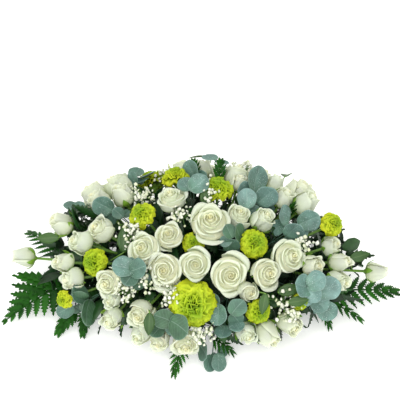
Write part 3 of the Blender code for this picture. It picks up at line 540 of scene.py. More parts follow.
def fern_shape(u, v):
    """A leaflet one unit long: its lobes shrink towards both ends and point forwards."""
    row = round(v * 2 * LOBES)
    taper = math.sin(math.pi * min(1, 0.34 + 0.66 * v)) ** 0.9 if row < 2 * LOBES else 0.02
    wide = 1 if row % 2 else LOBE_NOTCH
    ahead = LOBE_SWEEP * abs(u) * (row % 2) * taper
    return Vector((u * wide * taper, v + ahead, 0.05 * abs(u) * wide - 0.12 * v * v))


fern_master = master(thickened(sheet(2, 2 * LOBES, fern_shape), FERN_THICKNESS), "fern_leaflet")

# %% [markdown]
# ## Small white florets
# Each floret of the filler is a puff of crumpled petals, four to nine millimetres wide. A ball with ten
# meridians is pulled out on five of them and in on the others, which makes five lobes, and several hundred
# copies stay light.

# %% Build the floret master
FLORET_LOBE = 0.45
FLORET_FLATNESS = 0.55
only(camera)
bpy.ops.mesh.primitive_uv_sphere_add(segments=10, ring_count=4, radius=1)
floret = bpy.context.object
crumple_dice = random.Random(8)
for vertex in floret.data.vertices:
    turn = math.atan2(vertex.co.y, vertex.co.x)
    lobe = 1 + FLORET_LOBE * math.cos(5 * turn)
    crumple = crumple_dice.uniform(0.70, 1.25)
    vertex.co = Vector((vertex.co.x * lobe, vertex.co.y * lobe, vertex.co.z * FLORET_FLATNESS)) * crumple
floret_master = master(smoothed(floret), "floret")

# %% [markdown]
# A stem is a cylinder primitive of unit length and unit radius. Each copy is stretched between its own two
# ends and made thin.

# %% Build the stem master
only(camera)
bpy.ops.mesh.primitive_cylinder_add(vertices=7, radius=1, depth=1, end_fill_type="TRIFAN",
                                    location=(0, 0, 0.5))
bpy.ops.object.transform_apply()
stem = smoothed(bpy.context.object)
marked(stem, "layer", [1.0] * len(stem.data.vertices))
stem_master = master(stem, "stem")


def stalk(start, end, radius, chance=0.5):
    """A straight stalk from one point to another."""
    way = end - start
    place = standing(start, way.normalized(), 1) @ Matrix.Diagonal((radius, radius, way.length, 1))
    return copied(stem_master, place, chance)


# %% [markdown]
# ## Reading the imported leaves
# The leaves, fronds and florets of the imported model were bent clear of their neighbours, so their places are
# read from their solids. A blade's two middle points each join the whole rim, so they are the pairs of near
# vertices that share it. The rim has a gap where the stalk joins, and the leaf grows away from that gap.

# %% Find the blades of a node
MIDDLE_GAP = 1.5 * MM
GUM_RIM, ROSE_RIM = 7, 11


@dataclass
class Blade:
    """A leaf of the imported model: its middle, and vectors to its tip, to its side and out of its face."""

    middle: Vector
    along: Vector
    aside: Vector
    facing: Vector


def welded(node, reach=0.01 * MM):
    """A node's triangles, joined into a closed skin."""
    skin = bmesh.new()
    skin.from_mesh(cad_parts[node].data)
    bmesh.ops.remove_doubles(skin, verts=skin.verts, dist=reach)
    return skin


def neighbours(vertex):
    """The vertices that an edge joins to this one."""
    return {edge.other_vert(vertex) for edge in vertex.link_edges}


def blade_parts(skin, rim_count):
    """The upper middle, lower middle and rim of each blade of a skin. A twig that passes through a blade may
    have cut off one point of its rim."""
    middles = [v for v in skin.verts if len(v.link_edges) >= rim_count]
    found = []
    for k, first in enumerate(middles):
        for second in middles[k + 1:]:
            if abs((first.co - second.co).length - MIDDLE_GAP) > 0.1 * MM:
                continue
            rim = neighbours(first) & neighbours(second)
            if len(rim) >= rim_count - 1:
                upper, lower = sorted((first, second), key=lambda v: len(v.link_edges))
                found.append((upper, lower, rim))
    return found


def blade_from(upper, lower, rim):
    """A blade's place and size, from its vertices."""
    middle = (upper.co + lower.co) / 2
    facing = (upper.co - lower.co).normalized()
    along = sum(((v.co - middle).normalized() for v in rim), Vector())
    along = (along - facing * along.dot(facing)).normalized()
    aside = along.cross(facing)
    length = max((v.co - middle).dot(along) for v in rim)
    width = max(abs((v.co - middle).dot(aside)) for v in rim)
    return Blade(middle.copy(), along * length, aside * width, facing)


def blades(node, rim_count):
    """The blades of a node."""
    skin = welded(node)
    return [blade_from(*found) for found in blade_parts(skin, rim_count)]


found_blades = {}
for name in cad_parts:
    if name.startswith(("gum", "flower_stems")):
        found_blades[name] = blades(name, GUM_RIM if name.startswith("gum") else ROSE_RIM)
print({name: len(rows) for name, rows in found_blades.items()})

# %% [markdown]
# A packed leaflet has three rim points past its rib. The first has only three neighbours: two corners of the
# rib, one over the other, and the leaflet's tip. The third rim point leads on to the two corners where the
# next leaflet starts, so the leaflets of one side form a chain from the stalk to the frond's end.

# %% Find the leaflets of a node
@dataclass
class Leaflet:
    """A packed leaflet: its root, its tip and the way it faces, with the vertices that it joins."""

    root: Vector
    tip: Vector
    facing: Vector
    rim: set
    near: frozenset
    far: frozenset


def leaflets(skin):
    """Every leaflet of a skin."""
    found = []
    for first in skin.verts:
        tips = [v for v in neighbours(first) if len(neighbours(v)) == 4]
        near = neighbours(first) - set(tips)
        if len(neighbours(first)) != 3 or len(tips) != 1 or not near <= neighbours(tips[0]):
            continue
        third = (neighbours(tips[0]) - near - {first}).pop()
        far = neighbours(third) - near - {tips[0]}
        over, under = [v.co for v in near]
        facing = (over - under).normalized()
        root = (over + under) / 2
        facing *= -1 if (tips[0].co - root).dot(facing) > 0 else 1
        rim = {first, tips[0], third}
        found.append(Leaflet(root, tips[0].co.copy(), facing, rim, frozenset(near), frozenset(far)))
    return found


def chains(found):
    """The leaflets of each side of each frond, from the stalk outwards."""
    starts = {leaf.near: leaf for leaf in found}
    later = {leaf.far for leaf in found}
    rows = []
    for leaf in found:
        if leaf.near not in later:
            row = [leaf]
            while row[-1].far in starts:
                row.append(starts[row[-1].far])
            rows.append(row)
    return rows


def frond_rows(node):
    """The rows of leaflets of a node."""
    skin = welded(node)
    return chains(leaflets(skin))


found_leaflets = {name: frond_rows(name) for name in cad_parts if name.startswith("fern")}
print({name: [len(row) for row in rows] for name, rows in found_leaflets.items()})

# %% [markdown]
# A packed floret is a three-sided bud. Its tip has three neighbours, all at the same short distance.

# %% Find the buds of a node
BUD_SIZE = 4.4 * MM
BUD_EDGE = BUD_SIZE * math.sqrt(2)


def buds(node):
    """The middle of each bud's head and the direction it points in."""
    found = []
    for vertex in welded(node).verts:
        near = neighbours(vertex)
        if len(near) == 3 and all(abs((v.co - vertex.co).length - BUD_EDGE) < 0.2 * MM for v in near):
            middle = sum((v.co for v in near), Vector()) / 3
            found.append((middle, (vertex.co - middle).normalized()))
    return found


found_buds = {name: buds(name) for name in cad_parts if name.startswith("breath")}
print({name: len(rows) for name, rows in found_buds.items()})

# %% [markdown]
# ## Materials
# The materials share four effects, so each is a node group: a slow mottle, which shifts the colour from place
# to place, drops of dew, fine veins that run along a petal's own map, and the ribs and the pale rim of a
# leaf. A group puts out values only, and the shader stays in each material.

# %% Build the shared node groups
def new_group(name, inputs, outputs):
    """An empty node group with value or vector inputs and value outputs."""
    group = bpy.data.node_groups.new(name, "ShaderNodeTree")
    for title, kind, value in inputs:
        socket = group.interface.new_socket(title, in_out="INPUT", socket_type=kind)
        if value is not None:
            socket.default_value = value
    for title in outputs:
        group.interface.new_socket(title, in_out="OUTPUT", socket_type="NodeSocketFloat")
    return group, group.nodes.new("NodeGroupInput"), group.nodes.new("NodeGroupOutput")


def node(tree, kind, links=(), **settings):
    """Adds a node, sets its fields and links (output socket, input name) pairs into it."""
    made = tree.nodes.new(kind)
    for name, value in settings.items():
        setattr(made, name, value)
    for output, name in links:
        tree.links.new(output, made.inputs[name])
    return made


def maths(tree, operation, *values):
    """One sum of sockets and numbers. Returns its output."""
    made = node(tree, "ShaderNodeMath", operation=operation)
    for number, value in enumerate(values):
        if isinstance(value, bpy.types.NodeSocket):
            tree.links.new(value, made.inputs[number])
        else:
            made.inputs[number].default_value = value
    return made.outputs["Value"]


def object_pattern(tree, entry, kind):
    """A texture on Object coordinates, whose scale is the group's input."""
    place = node(tree, "ShaderNodeTexCoord")
    return node(tree, kind, [(place.outputs["Object"], "Vector"), (entry.outputs["Scale"], "Scale")])


mottle_group, entry, leave = new_group("Mottle", [("Scale", "NodeSocketFloat", 60.0)], ["Value"])
cloud_node = object_pattern(mottle_group, entry, "ShaderNodeTexNoise")
cloud_node.inputs["Detail"].default_value = 3
mottle_group.links.new(cloud_node.outputs["Fac"], leave.inputs["Value"])

DROP_RADIUS = 0.15
speck_group, entry, leave = new_group("Specks", [("Scale", "NodeSocketFloat", 330.0)], ["Value"])
cell_node = object_pattern(speck_group, entry, "ShaderNodeTexVoronoi")
drop = maths(speck_group, "LESS_THAN", cell_node.outputs["Distance"], DROP_RADIUS)
speck_group.links.new(drop, leave.inputs["Value"])

VEIN_STRETCH = 1.2
vein_group, entry, leave = new_group("Veins", [("Count", "NodeSocketFloat", 12.0)], ["Value"])
map_node = node(vein_group, "ShaderNodeUVMap")
stretch = node(vein_group, "ShaderNodeCombineXYZ", [(entry.outputs["Count"], "X")])
stretch.inputs["Y"].default_value = VEIN_STRETCH
stretched = node(vein_group, "ShaderNodeVectorMath",
                 [(map_node.outputs["UV"], 0), (stretch.outputs["Vector"], 1)], operation="MULTIPLY")
vein_node = node(vein_group, "ShaderNodeTexNoise", [(stretched.outputs["Vector"], "Vector")])
vein_node.inputs["Scale"].default_value = 3
vein_node.inputs["Detail"].default_value = 2
vein_group.links.new(vein_node.outputs["Fac"], leave.inputs["Value"])

# %% [markdown]
# The ribs are drawn on the leaf's own map, where 0.5 is the midrib: a line along it, slanting side veins at
# even steps, and a rim where the map ends. Each is a test on the distance from a line.

# %% Build the group of leaf ribs
MIDRIB_HALF_WIDTH = 0.018
VEIN_SLANT = 0.8
VEIN_HALF_WIDTH = 0.045
VEIN_STRENGTH = 0.5
RIM_START = 0.475
rib_group, entry, leave = new_group("Ribs", [("Count", "NodeSocketFloat", 7.0)], ["Value"])
rib_map = node(rib_group, "ShaderNodeUVMap")
on_map = node(rib_group, "ShaderNodeSeparateXYZ", [(rib_map.outputs["UV"], "Vector")])
out_from_midrib = maths(rib_group, "ABSOLUTE", maths(rib_group, "SUBTRACT", on_map.outputs["X"], 0.5))
midrib = maths(rib_group, "LESS_THAN", out_from_midrib, MIDRIB_HALF_WIDTH)
slant = maths(rib_group, "MULTIPLY", out_from_midrib, VEIN_SLANT)
slanted = maths(rib_group, "SUBTRACT", on_map.outputs["Y"], slant)
waves = maths(rib_group, "PINGPONG", maths(rib_group, "MULTIPLY", slanted, entry.outputs["Count"]), 0.5)
thin_veins = maths(rib_group, "LESS_THAN", waves, VEIN_HALF_WIDTH)
side_veins = maths(rib_group, "MULTIPLY", thin_veins, VEIN_STRENGTH)
out_from_middle = maths(rib_group, "ABSOLUTE", maths(rib_group, "SUBTRACT", on_map.outputs["Y"], 0.5))
furthest_out = maths(rib_group, "MAXIMUM", out_from_midrib, out_from_middle)
rim = maths(rib_group, "GREATER_THAN", furthest_out, RIM_START)
rib_lines = maths(rib_group, "MAXIMUM", midrib, maths(rib_group, "MAXIMUM", side_veins, rim))
rib_group.links.new(rib_lines, leave.inputs["Value"])
print("groups:", [group.name for group in bpy.data.node_groups])

# %% [markdown]
# A plant's colour is seldom one colour. Each material mixes a few along the petal or leaf, from its base to
# its rim and from the heart outwards, and then shifts the result by the mottle and by each copy's own number.

# %% Define how a plant material is mixed
WHITE = (1, 1, 1)
DEW = (0.72, 0.80, 0.80)
RELIEF_DEPTH = 0.4 * MM


def ramp(tree, factor, stops):
    """A colour ramp with (place, colour) stops."""
    made = node(tree, "ShaderNodeValToRGB", [(factor, "Fac")])
    band = made.color_ramp.elements
    while len(band) < len(stops):
        band.new(0.5)
    for element, (place, colour) in zip(band, stops):
        element.position = place
        element.color = (*colour, 1)
    return made.outputs["Color"]


def blend_colours(tree, factor, first, second, kind="MIX"):
    """Mixes two colours or multiplies them. Each value is a socket, a number or a colour."""
    made = node(tree, "ShaderNodeMix", data_type="RGBA", blend_type=kind)
    for value, socket in ((factor, 0), (first, 6), (second, 7)):
        if isinstance(value, bpy.types.NodeSocket):
            tree.links.new(value, made.inputs[socket])
        else:
            made.inputs[socket].default_value = value if socket == 0 else (*value, 1)
    return made.outputs[2]


def attribute(tree, name):
    """The number that a mesh carries under this name."""
    return node(tree, "ShaderNodeAttribute", attribute_name=name).outputs["Fac"]


def plant_material(name, across_stops, along_stops, vary, mottle, veins, bump, dew=0, ribs=None, **settings):
    """across_stops colour the layers from the heart outwards, along_stops tint each sheet from base to rim,
    and vary shifts the colour from copy to copy. Mottle is a scale and its darkest value, veins are a count
    and theirs, and ribs are a count, a strength and a colour. Without veins the relief follows the mottle.
    """
    made = bpy.data.materials.new(name)
    made.use_nodes = True
    tree = made.node_tree
    shader = tree.nodes["Principled BSDF"]
    for title, value in settings.items():
        shader.inputs[title.replace("_", " ")].default_value = value
    colour = ramp(tree, attribute(tree, "layer"), across_stops)
    tint = ramp(tree, attribute(tree, "along"), along_stops)
    colour = blend_colours(tree, 1.0, colour, tint, "MULTIPLY")
    shift = ramp(tree, attribute(tree, "chance"), vary)
    colour = blend_colours(tree, 1.0, colour, shift, "MULTIPLY")
    mottle_node = node(tree, "ShaderNodeGroup", node_tree=mottle_group)
    mottle_node.inputs["Scale"].default_value = mottle[0]
    spots = ramp(tree, mottle_node.outputs["Value"], [(0.3, (mottle[1],) * 3), (0.7, (1, 1, 1))])
    colour = blend_colours(tree, 1.0, colour, spots, "MULTIPLY")
    relief_height = mottle_node.outputs["Value"]
    if veins:
        vein = node(tree, "ShaderNodeGroup", node_tree=vein_group)
        vein.inputs["Count"].default_value = veins[0]
        lines = ramp(tree, vein.outputs["Value"], [(0.35, (veins[1],) * 3), (0.6, (1, 1, 1))])
        colour = blend_colours(tree, 1.0, colour, lines, "MULTIPLY")
        relief_height = vein.outputs["Value"]
    if ribs:
        rib = node(tree, "ShaderNodeGroup", node_tree=rib_group)
        rib.inputs["Count"].default_value = ribs[0]
        amount = maths(tree, "MULTIPLY", rib.outputs["Value"], ribs[1])
        colour = blend_colours(tree, amount, colour, ribs[2])
    if dew:
        drops = node(tree, "ShaderNodeGroup", node_tree=speck_group)
        wet = ramp(tree, attribute(tree, "chance"), [(0.45, (0, 0, 0)), (0.6, (dew,) * 3)])
        amount = blend_colours(tree, 1.0, drops.outputs["Value"], wet, "MULTIPLY")
        colour = blend_colours(tree, amount, colour, DEW)
    tree.links.new(colour, shader.inputs["Base Color"])
    relief = node(tree, "ShaderNodeBump", [(relief_height, "Height")])
    relief.inputs["Strength"].default_value = bump
    relief.inputs["Distance"].default_value = RELIEF_DEPTH
    tree.links.new(relief.outputs["Normal"], shader.inputs["Normal"])
    return made


def even(colour):
    """Stops that keep one colour from end to end."""
    return [(0.0, colour), (1.0, colour)]


print("a material takes its colours along, across and by chance")

# %% [markdown]
# The real petals are a warm cream in the heart of a rose and a cool greenish white outside, and a little
# light passes through them. The lime petals are a deeper green at their claws and heart and paler at their
# frills, and both ends are pushed further: painted shade deep in the pompon and a painted highlight on the
# frill tips. The gum leaves run from dark green to a frosted blue-grey, with a pale rim, and the flower
# stems' leaves are darker than the stems.

# %% Mix the materials of the petals and leaves
white_petal = plant_material(
    "white_petal",
    [(0.0, (0.84, 0.78, 0.42)), (0.2, (0.79, 0.78, 0.53)), (0.45, (0.74, 0.775, 0.585)),
     (1.0, (0.715, 0.76, 0.60))],
    [(0.0, (0.72, 0.85, 0.45)), (0.35, (0.95, 0.98, 0.80)), (0.7, WHITE), (1.0, WHITE)],
    [(0.0, (0.98, 0.98, 0.93)), (1.0, (0.96, 1.0, 0.97))],
    (40, 0.95), (14, 0.96), 0.15,
    Roughness=0.55, Subsurface_Weight=0.6, Subsurface_Radius=(0.010, 0.010, 0.008), Subsurface_Scale=0.4,
)
lime_petal = plant_material(
    "lime_petal",
    # Darker towards the heart: partly the petal's own deeper green, partly painted shade deep in the pompon.
    [(0.0, (0.20, 0.36, 0.004)), (0.25, (0.36, 0.52, 0.005)), (1.0, (0.50, 0.61, 0.006))],
    # The dark claws are partly the petal's own colour and partly painted shade; the frill tips, lifted well
    # past the petal's colour, are a painted highlight.
    [(0.0, (0.05, 0.15, 0.25)), (0.55, (0.40, 0.54, 0.6)), (1.0, (1.38, 1.22, 4.5))],
    [(0.0, (0.85, 0.95, 0.8)), (1.0, (1.1, 1.05, 1.0))],
    (120, 0.85), (16, 0.9), 0.25,
    Roughness=0.6, Specular_IOR_Level=0.25, Subsurface_Weight=0.08, Subsurface_Radius=(0.006, 0.010, 0.002),
    Subsurface_Scale=0.4,
)
gum_leaf = plant_material(
    "gum_leaf",
    [(0.0, (0.120, 0.228, 0.180)), (0.9, (0.120, 0.228, 0.180)), (1.0, (0.20, 0.22, 0.10))],
    [(0.0, (0.80, 0.90, 0.75)), (0.5, WHITE), (1.0, (1.0, 1.02, 1.05))],
    [(0.0, (0.60, 0.72, 0.48)), (0.5, (0.92, 1.0, 0.98)), (1.0, (1.75, 1.60, 1.85))],
    (50, 0.55), (5, 0.90), 0.3, 0.8, (6, 0.28, (0.36, 0.50, 0.44)),
    Roughness=0.50,
)
green_leaf = plant_material(
    "flower_stem",
    [(0.0, (0.030, 0.095, 0.010)), (0.5, (0.034, 0.105, 0.012)), (0.7, (0.20, 0.38, 0.04)),
     (1.0, (0.16, 0.32, 0.05))],
    [(0.0, (1.1, 1.1, 0.9)), (1.0, WHITE)],
    [(0.0, (0.5, 0.7, 0.6)), (1.0, (1.3, 1.2, 1.0))],
    (80, 0.75), (5, 0.90), 0.4, 0, (9, 0.35, (0.16, 0.28, 0.06)),
    Roughness=0.45,
)
fern_leaf = plant_material(
    "fern_leaf",
    [(0.0, (0.013, 0.098, 0.005)), (1.0, (0.016, 0.098, 0.006))],
    [(0.0, (0.8, 0.9, 0.8)), (1.0, (1.3, 1.3, 1.2))],
    [(0.0, (0.5, 0.6, 0.6)), (1.0, (1.5, 1.3, 1.2))],
    (90, 0.7), (4, 0.9), 0.4,
    Roughness=0.50, Specular_IOR_Level=0.15,
)
dark_leaf = plant_material(
    "dark_leaf",
    even((0.006, 0.040, 0.008)),
    even(WHITE),
    [(0.0, (0.4, 0.6, 0.5)), (0.7, (1.6, 1.5, 1.1)), (1.0, (3.2, 2.6, 1.4))],
    (70, 0.6), (5, 0.9), 0.4,
    Roughness=0.5,
)
breath_floret = plant_material(
    "breath_floret",
    [(0.0, (0.86, 0.87, 0.76)), (0.9, (0.86, 0.87, 0.76)), (1.0, (0.10, 0.22, 0.04))],
    even(WHITE),
    [(0.0, (0.80, 0.84, 0.62)), (0.5, WHITE), (1.0, WHITE)],
    (400, 0.85), None, 0.1,
    Roughness=0.7,
)
foam_green = plant_material(
    "foam_green", even((0.012, 0.045, 0.015)), even(WHITE), even(WHITE), (900, 0.35), None, 1.0,
    Roughness=0.95,
)
tray_plastic = plant_material(
    "tray_plastic", even((0.010, 0.030, 0.014)), even(WHITE), even(WHITE), (300, 0.8), None, 0.2,
    Roughness=0.35,
)
print(len(bpy.data.materials), "materials")

# %% [markdown]
# ## Planting
# Every piece made here rides on the spray's one body and gets one of the materials above. All but the base
# greens stand for the plain solid that they were made from.

# %% Define how a piece is finished
pieces = []


def planted(thing, name, material, slot, *nodes):
    """Dresses a finished piece, sets it in the frame and hides the nodes that it stands for."""
    thing.name = name
    thing.data.name = name
    thing.data.materials.clear()
    thing.data.materials.append(material)
    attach(thing, "root")
    if nodes:
        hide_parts(*nodes)
    pieces.append(thing)


print("ready to plant")

# %% [markdown]
# The heads: for each row of the plan the rose master whose openness is nearest, or the carnation, is copied
# and turned at random by a seeded draw, and the roses of a cluster are joined. The carnation at the right end
# is wider than its solid, so it also sinks a little and turns to the viewer.

# %% Plant the roses and carnations
BUD_LIMIT = 0.45
KIND_SHIFT = 0.06
FRILL_SPREAD = 1.08
WIDER = {"carnation_right_end": 1.28}
WIDER_SINK = 0.45
WIDER_TURN = 0.35
head_dice = random.Random(21)
stem_rows = []


def rose_for(openness):
    """The master for a bloom, with a small random shift so that near kinds mix."""

    def misfit(row):
        return abs(row[0] - openness + head_dice.uniform(-KIND_SHIFT, KIND_SHIFT))

    return min(rose_masters, key=misfit)[1]


def plant_head(bloom, heart, original, spread=1):
    """Places a head and notes its stem. A head that is widened sinks a little and turns to the viewer."""
    base, axis, half, hub, number = placed(bloom, heart)
    calyx = bud_calyx if heart == ROSE_HEART and bloom.openness < BUD_LIMIT else open_calyx
    spin = head_dice.uniform(0, math.tau)
    if spread > FRILL_SPREAD:
        base = base - axis * half * WIDER_SINK
        axis = axis.lerp((EYE - base).normalized(), WIDER_TURN).normalized()
    stem_rows.append((number, hub, base, axis, half, calyx))
    return copied(original, standing(base, axis, half * spread, spin), head_dice.uniform(0, 1))


for name, cluster in ROSES.items():
    heads = [plant_head(bloom, ROSE_HEART, rose_for(bloom.openness)) for bloom in cluster]
    planted(joined(heads, name), name + "_petals", white_petal, "white_petal", name)
for name, bloom in CARNATIONS.items():
    head = plant_head(bloom, CARNATION_HEART, carnation_master, WIDER.get(name, FRILL_SPREAD))
    planted(head, name + "_petals", lime_petal, "lime_petal", name)
print(len(pieces), "pieces of petals")

# %% [markdown]
# The flower stems radiate from six points in the foam. Each ends in its green cup, and each pointed rose leaf
# gets a short stalk from the nearest stem.

# %% Plant the flower stems and rose leaves
STEM_RADIUS = 2.6 * MM
LEAF_STALK = 1.1 * MM
LOWEST_JOINT, HIGHEST_JOINT = 0.3, 0.97


def leaf_place(blade):
    """The place of a leaf master, whose +Y is its tip and +Z its face, on a blade."""
    columns = Matrix((blade.aside, blade.along, blade.facing * blade.along.length)).transposed()
    return Matrix.Translation(blade.middle) @ columns.to_4x4()


def nearest_on(rows, point):
    """The nearest point on the given stems, clear of the foam and of the heads."""
    spots = []
    for start, end in rows:
        way = end - start
        share = min(HIGHEST_JOINT, max(LOWEST_JOINT, (point - start).dot(way) / way.length_squared))
        spots.append(start + way * share)
    return min(spots, key=lambda spot: (spot - point).length)


for number in range(HUB_COUNT):
    rows = [row for row in stem_rows if row[0] == number]
    ways = [(hub, base) for _, hub, base, _, _, _ in rows]
    node_name = f"flower_stems_{number + 1}"
    parts = [stalk(start, end, STEM_RADIUS) for start, end in ways]
    for _, hub, base, axis, half, calyx in rows:
        spin = head_dice.uniform(0, math.tau)
        parts.append(copied(calyx, standing(base, axis, half, spin), head_dice.uniform(0.3, 1)))
    for blade in found_blades[node_name]:
        parts.append(copied(rose_leaf_master, leaf_place(blade), head_dice.uniform(0, 1)))
        foot = blade.middle - blade.along
        parts.append(stalk(nearest_on(ways, foot), foot, LEAF_STALK))
    planted(joined(parts, node_name), node_name + "_green", green_leaf, "flower_stem", node_name)
print(HUB_COUNT, "bunches of stems")

# %% [markdown]
# The stalks of the gum and fern sprays wind between the flowers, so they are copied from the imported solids,
# with the blades and leaflets taken off and the open ends closed.

# %% Take the stalks out of a node
def stalks_of(node, dropped):
    """A node's stalks alone: its skin without the vertices that dropped(skin) returns."""
    skin = welded(node)
    bmesh.ops.delete(skin, geom=list(dropped(skin)), context="VERTS")
    bmesh.ops.holes_fill(skin, edges=skin.edges)
    bmesh.ops.recalc_face_normals(skin, faces=skin.faces)
    mesh = bpy.data.meshes.new(node)
    skin.to_mesh(mesh)
    thing = bpy.data.objects.new(node, mesh)
    bpy.context.scene.collection.objects.link(thing)
    mesh.uv_layers.new(name="UVMap")
    for title, value in (("along", 0.3), ("layer", 0.0), ("chance", 0.4)):
        marked(thing, title, [value] * len(mesh.vertices))
    return thing


print("stalks can be taken from the gum and fern nodes")

# %% [markdown]
# The gum leaves grow in pairs, so each packed leaf gets a smaller partner on the other side of its twig. A
# sprig is as dark or as frosted as the real one in its place, and the two at the back are smaller than their
# solids, so that they stay behind the flowers.

# %% Plant the gum sprigs
SMALLER = {"gum_rear_left": 0.72, "gum_rear_right": 0.75}
GUM_TONES = {"gum_front_left": 0.12, "gum_front": 0.45, "gum_right_front": 0.85, "gum_left_front": 0.25,
             "gum_top": 0.6, "gum_top_right": 0.75, "gum_centre_left": 0.45, "gum_centre": 0.3,
             "gum_right_upper": 0.7, "gum_left_top": 0.4}
TONE_SHIFT = 0.3
PARTNER_DROP = 4


def above_table(leaf):
    """Lifts a leaf whose rim would go under the table."""
    lowest = min(vertex.co.z for vertex in leaf.data.vertices)
    if lowest < MM:
        leaf.data.transform(Matrix.Translation((0, 0, MM - lowest)))
    return leaf


def partner(blade):
    """The leaf opposite this one on the twig: a little smaller, turned aside about its foot and behind it."""
    foot = blade.middle - blade.along
    turn = Matrix.Rotation(head_dice.choice((-1, 1)) * head_dice.uniform(1.2, 2.0), 3, blade.facing)
    tilt = Matrix.Rotation(head_dice.uniform(-0.5, 0.1), 3, blade.aside.normalized())
    shrink = head_dice.uniform(0.62, 0.85)
    along, aside, facing = [turn @ tilt @ side for side in (blade.along, blade.aside, blade.facing)]
    middle = foot + along * shrink - blade.facing * PARTNER_DROP * MM
    return Blade(middle, along * shrink, aside * shrink, facing)


def gum_blade_points(skin):
    """The vertices of a sprig's blades. Where a twig cut a blade, all near its disc but its foot goes."""
    points = set()
    for upper, lower, rim in blade_parts(skin, GUM_RIM):
        points |= {upper, lower, *rim}
        if len(rim) < GUM_RIM:
            blade = blade_from(upper, lower, rim)
            foot = blade.middle - blade.along
            size = blade.along.length
            near = {v for v in skin.verts if (v.co - blade.middle).length < size * 1.1}
            flat = {v for v in near if abs((v.co - blade.middle).dot(blade.facing)) < size * 0.25}
            points |= {v for v in flat if (v.co - foot).length > size * 0.3}
    return points


gum_nodes = [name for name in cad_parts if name.startswith("gum")]
for name in gum_nodes:
    parts = [stalks_of(name, gum_blade_points)]
    tone = GUM_TONES.get(name, 0.5)
    share = SMALLER.get(name, 1)
    for found in found_blades[name]:
        foot = found.middle - found.along
        blade = Blade(foot + found.along * share, found.along * share, found.aside * share, found.facing)
        for each in (blade, partner(blade)):
            chance = min(1, max(0, tone + head_dice.uniform(-TONE_SHIFT, TONE_SHIFT)))
            parts.append(above_table(copied(gum_master, leaf_place(each), chance)))
    planted(joined(parts, name), name + "_leaves", gum_leaf, "gum_leaf", name)
print(len(gum_nodes), "gum sprigs")

# %% [markdown]
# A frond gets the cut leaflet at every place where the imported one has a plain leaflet, nearly as wide as
# their spacing, so that neighbours just meet. The ribs are thin stalks from root to root. The left frond is
# fuller and its rows run from long to short, the right one's leaflets are a quarter shorter, and near the
# table they lie flat.

# %% Plant the ferns
RIB_RADIUS = 0.9 * MM
LEAFLET_SHARE = 0.44
LEAFLET_TURN = 0.15
FULLER = {"fern_left": 0.78}
REACHES = {
    ("fern_left", 8, True): (2.1, 0.4),
    ("fern_left", 8, False): (1.0, 0.4),
    ("fern_right", 6, True): (0.75, 0.75),
    ("fern_right", 6, False): (0.75, 0.75),
}
SAME_REACH = (1, 1)
TABLE_GAP = 5 * MM
FLAT_BELOW = 45 * MM


def placed_leaflet(root, tip, facing, half, chance):
    """A leaflet from its root to its tip, with half its width."""
    along = tip - root
    aside = along.cross(facing).normalized() * half
    columns = Matrix((aside, along, aside.cross(along).normalized() * along.length)).transposed()
    return copied(fern_master, Matrix.Translation(root) @ columns.to_4x4(), chance)


def reach_of(name, row):
    """How long a row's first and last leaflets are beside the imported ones. True marks a frond's far side."""
    far = sum((leaf.tip - leaf.root).y for leaf in row) > 0
    return REACHES.get((name, len(row), far), SAME_REACH)


def row_parts(row, share, reach):
    """The leaflets and the rib of one side of a frond. A leaflet's half width is a share of their spacing."""
    parts = []
    half = share * (row[-1].root - row[0].root).length / max(1, len(row) - 1)
    for number, (leaf, after) in enumerate(zip(row, row[1:] + [None])):
        facing = leaf.facing + Vector([head_dice.uniform(-LEAFLET_TURN, LEAFLET_TURN) for _ in range(3)])
        facing = facing.lerp(Vector((0, 0, 1)), max(0, 1 - leaf.root.z / FLAT_BELOW))
        stretch = mixed(*reach, number / (len(row) - 1))
        tip = leaf.root + (leaf.tip - leaf.root) * stretch
        tip.z = max(tip.z, TABLE_GAP)
        half_here = half * min(1, stretch)
        parts.append(placed_leaflet(leaf.root, tip, facing, half_here, head_dice.uniform(0, 1)))
        if after:
            parts.append(stalk(leaf.root, after.root, RIB_RADIUS, 0.3))
    return parts


def frond_points(skin):
    """The vertices of the fronds past their first joints."""
    rows = chains(leaflets(skin))
    leaves = [leaf for row in rows for leaf in row]
    starts = {v for row in rows for v in row[0].near}
    return {v for leaf in leaves for v in (*leaf.rim, *leaf.near, *leaf.far)} - starts


for name, rows in found_leaflets.items():
    share = FULLER.get(name, LEAFLET_SHARE)
    parts = [part for row in rows for part in row_parts(row, share, reach_of(name, row))]
    parts.append(stalks_of(name, frond_points))
    planted(joined(parts, name), name + "_fronds", fern_leaf, "fern_leaf", name)
print(len(found_leaflets), "fern stems")

# %% [markdown]
# Each packed bud stands for a little cloud: its own floret and fifteen more, on thin stalks from one point a
# little behind it. They are scattered sideways and back from the bud, and never past it. The branches below
# that point, deep between the flowers, aren't made.

# %% Plant the small florets
FLORETS_EACH = 15
CLOUD_REACH = 22 * MM
CLOUD_DEPTH = 6
FORK_DEPTH = 14
FLORET_SIZES = (2.2, 4.3)
floret_dice = random.Random(12)


def floret_at(point):
    """One floret, of a random size and facing mostly up and forwards."""
    size = floret_dice.uniform(*FLORET_SIZES) * MM
    axis = Vector([floret_dice.uniform(-1, 1), floret_dice.uniform(-1, 0.4), floret_dice.uniform(0.2, 1)])
    return copied(floret_master, standing(point, axis, size), floret_dice.uniform(0, 1))


for name, rows in found_buds.items():
    parts = []
    for middle, axis in rows:
        root = middle - axis * FORK_DEPTH * MM
        parts.append(stalk(root, middle, 0.4 * MM))
        parts.append(floret_at(middle))
        for _ in range(FLORETS_EACH):
            aside = Vector([floret_dice.gauss(0, 0.5) for _ in range(3)]) * CLOUD_REACH
            aside -= axis * max(0, aside.dot(axis))
            point = middle + aside - axis * floret_dice.uniform(0, CLOUD_DEPTH) * MM
            parts.append(stalk(root, point, 0.35 * MM))
            parts.append(floret_at(point))
    planted(joined(parts, name), name + "_florets", breath_floret, "breath_floret", name)
print(sum(map(len, found_buds.values())), "clouds of florets")

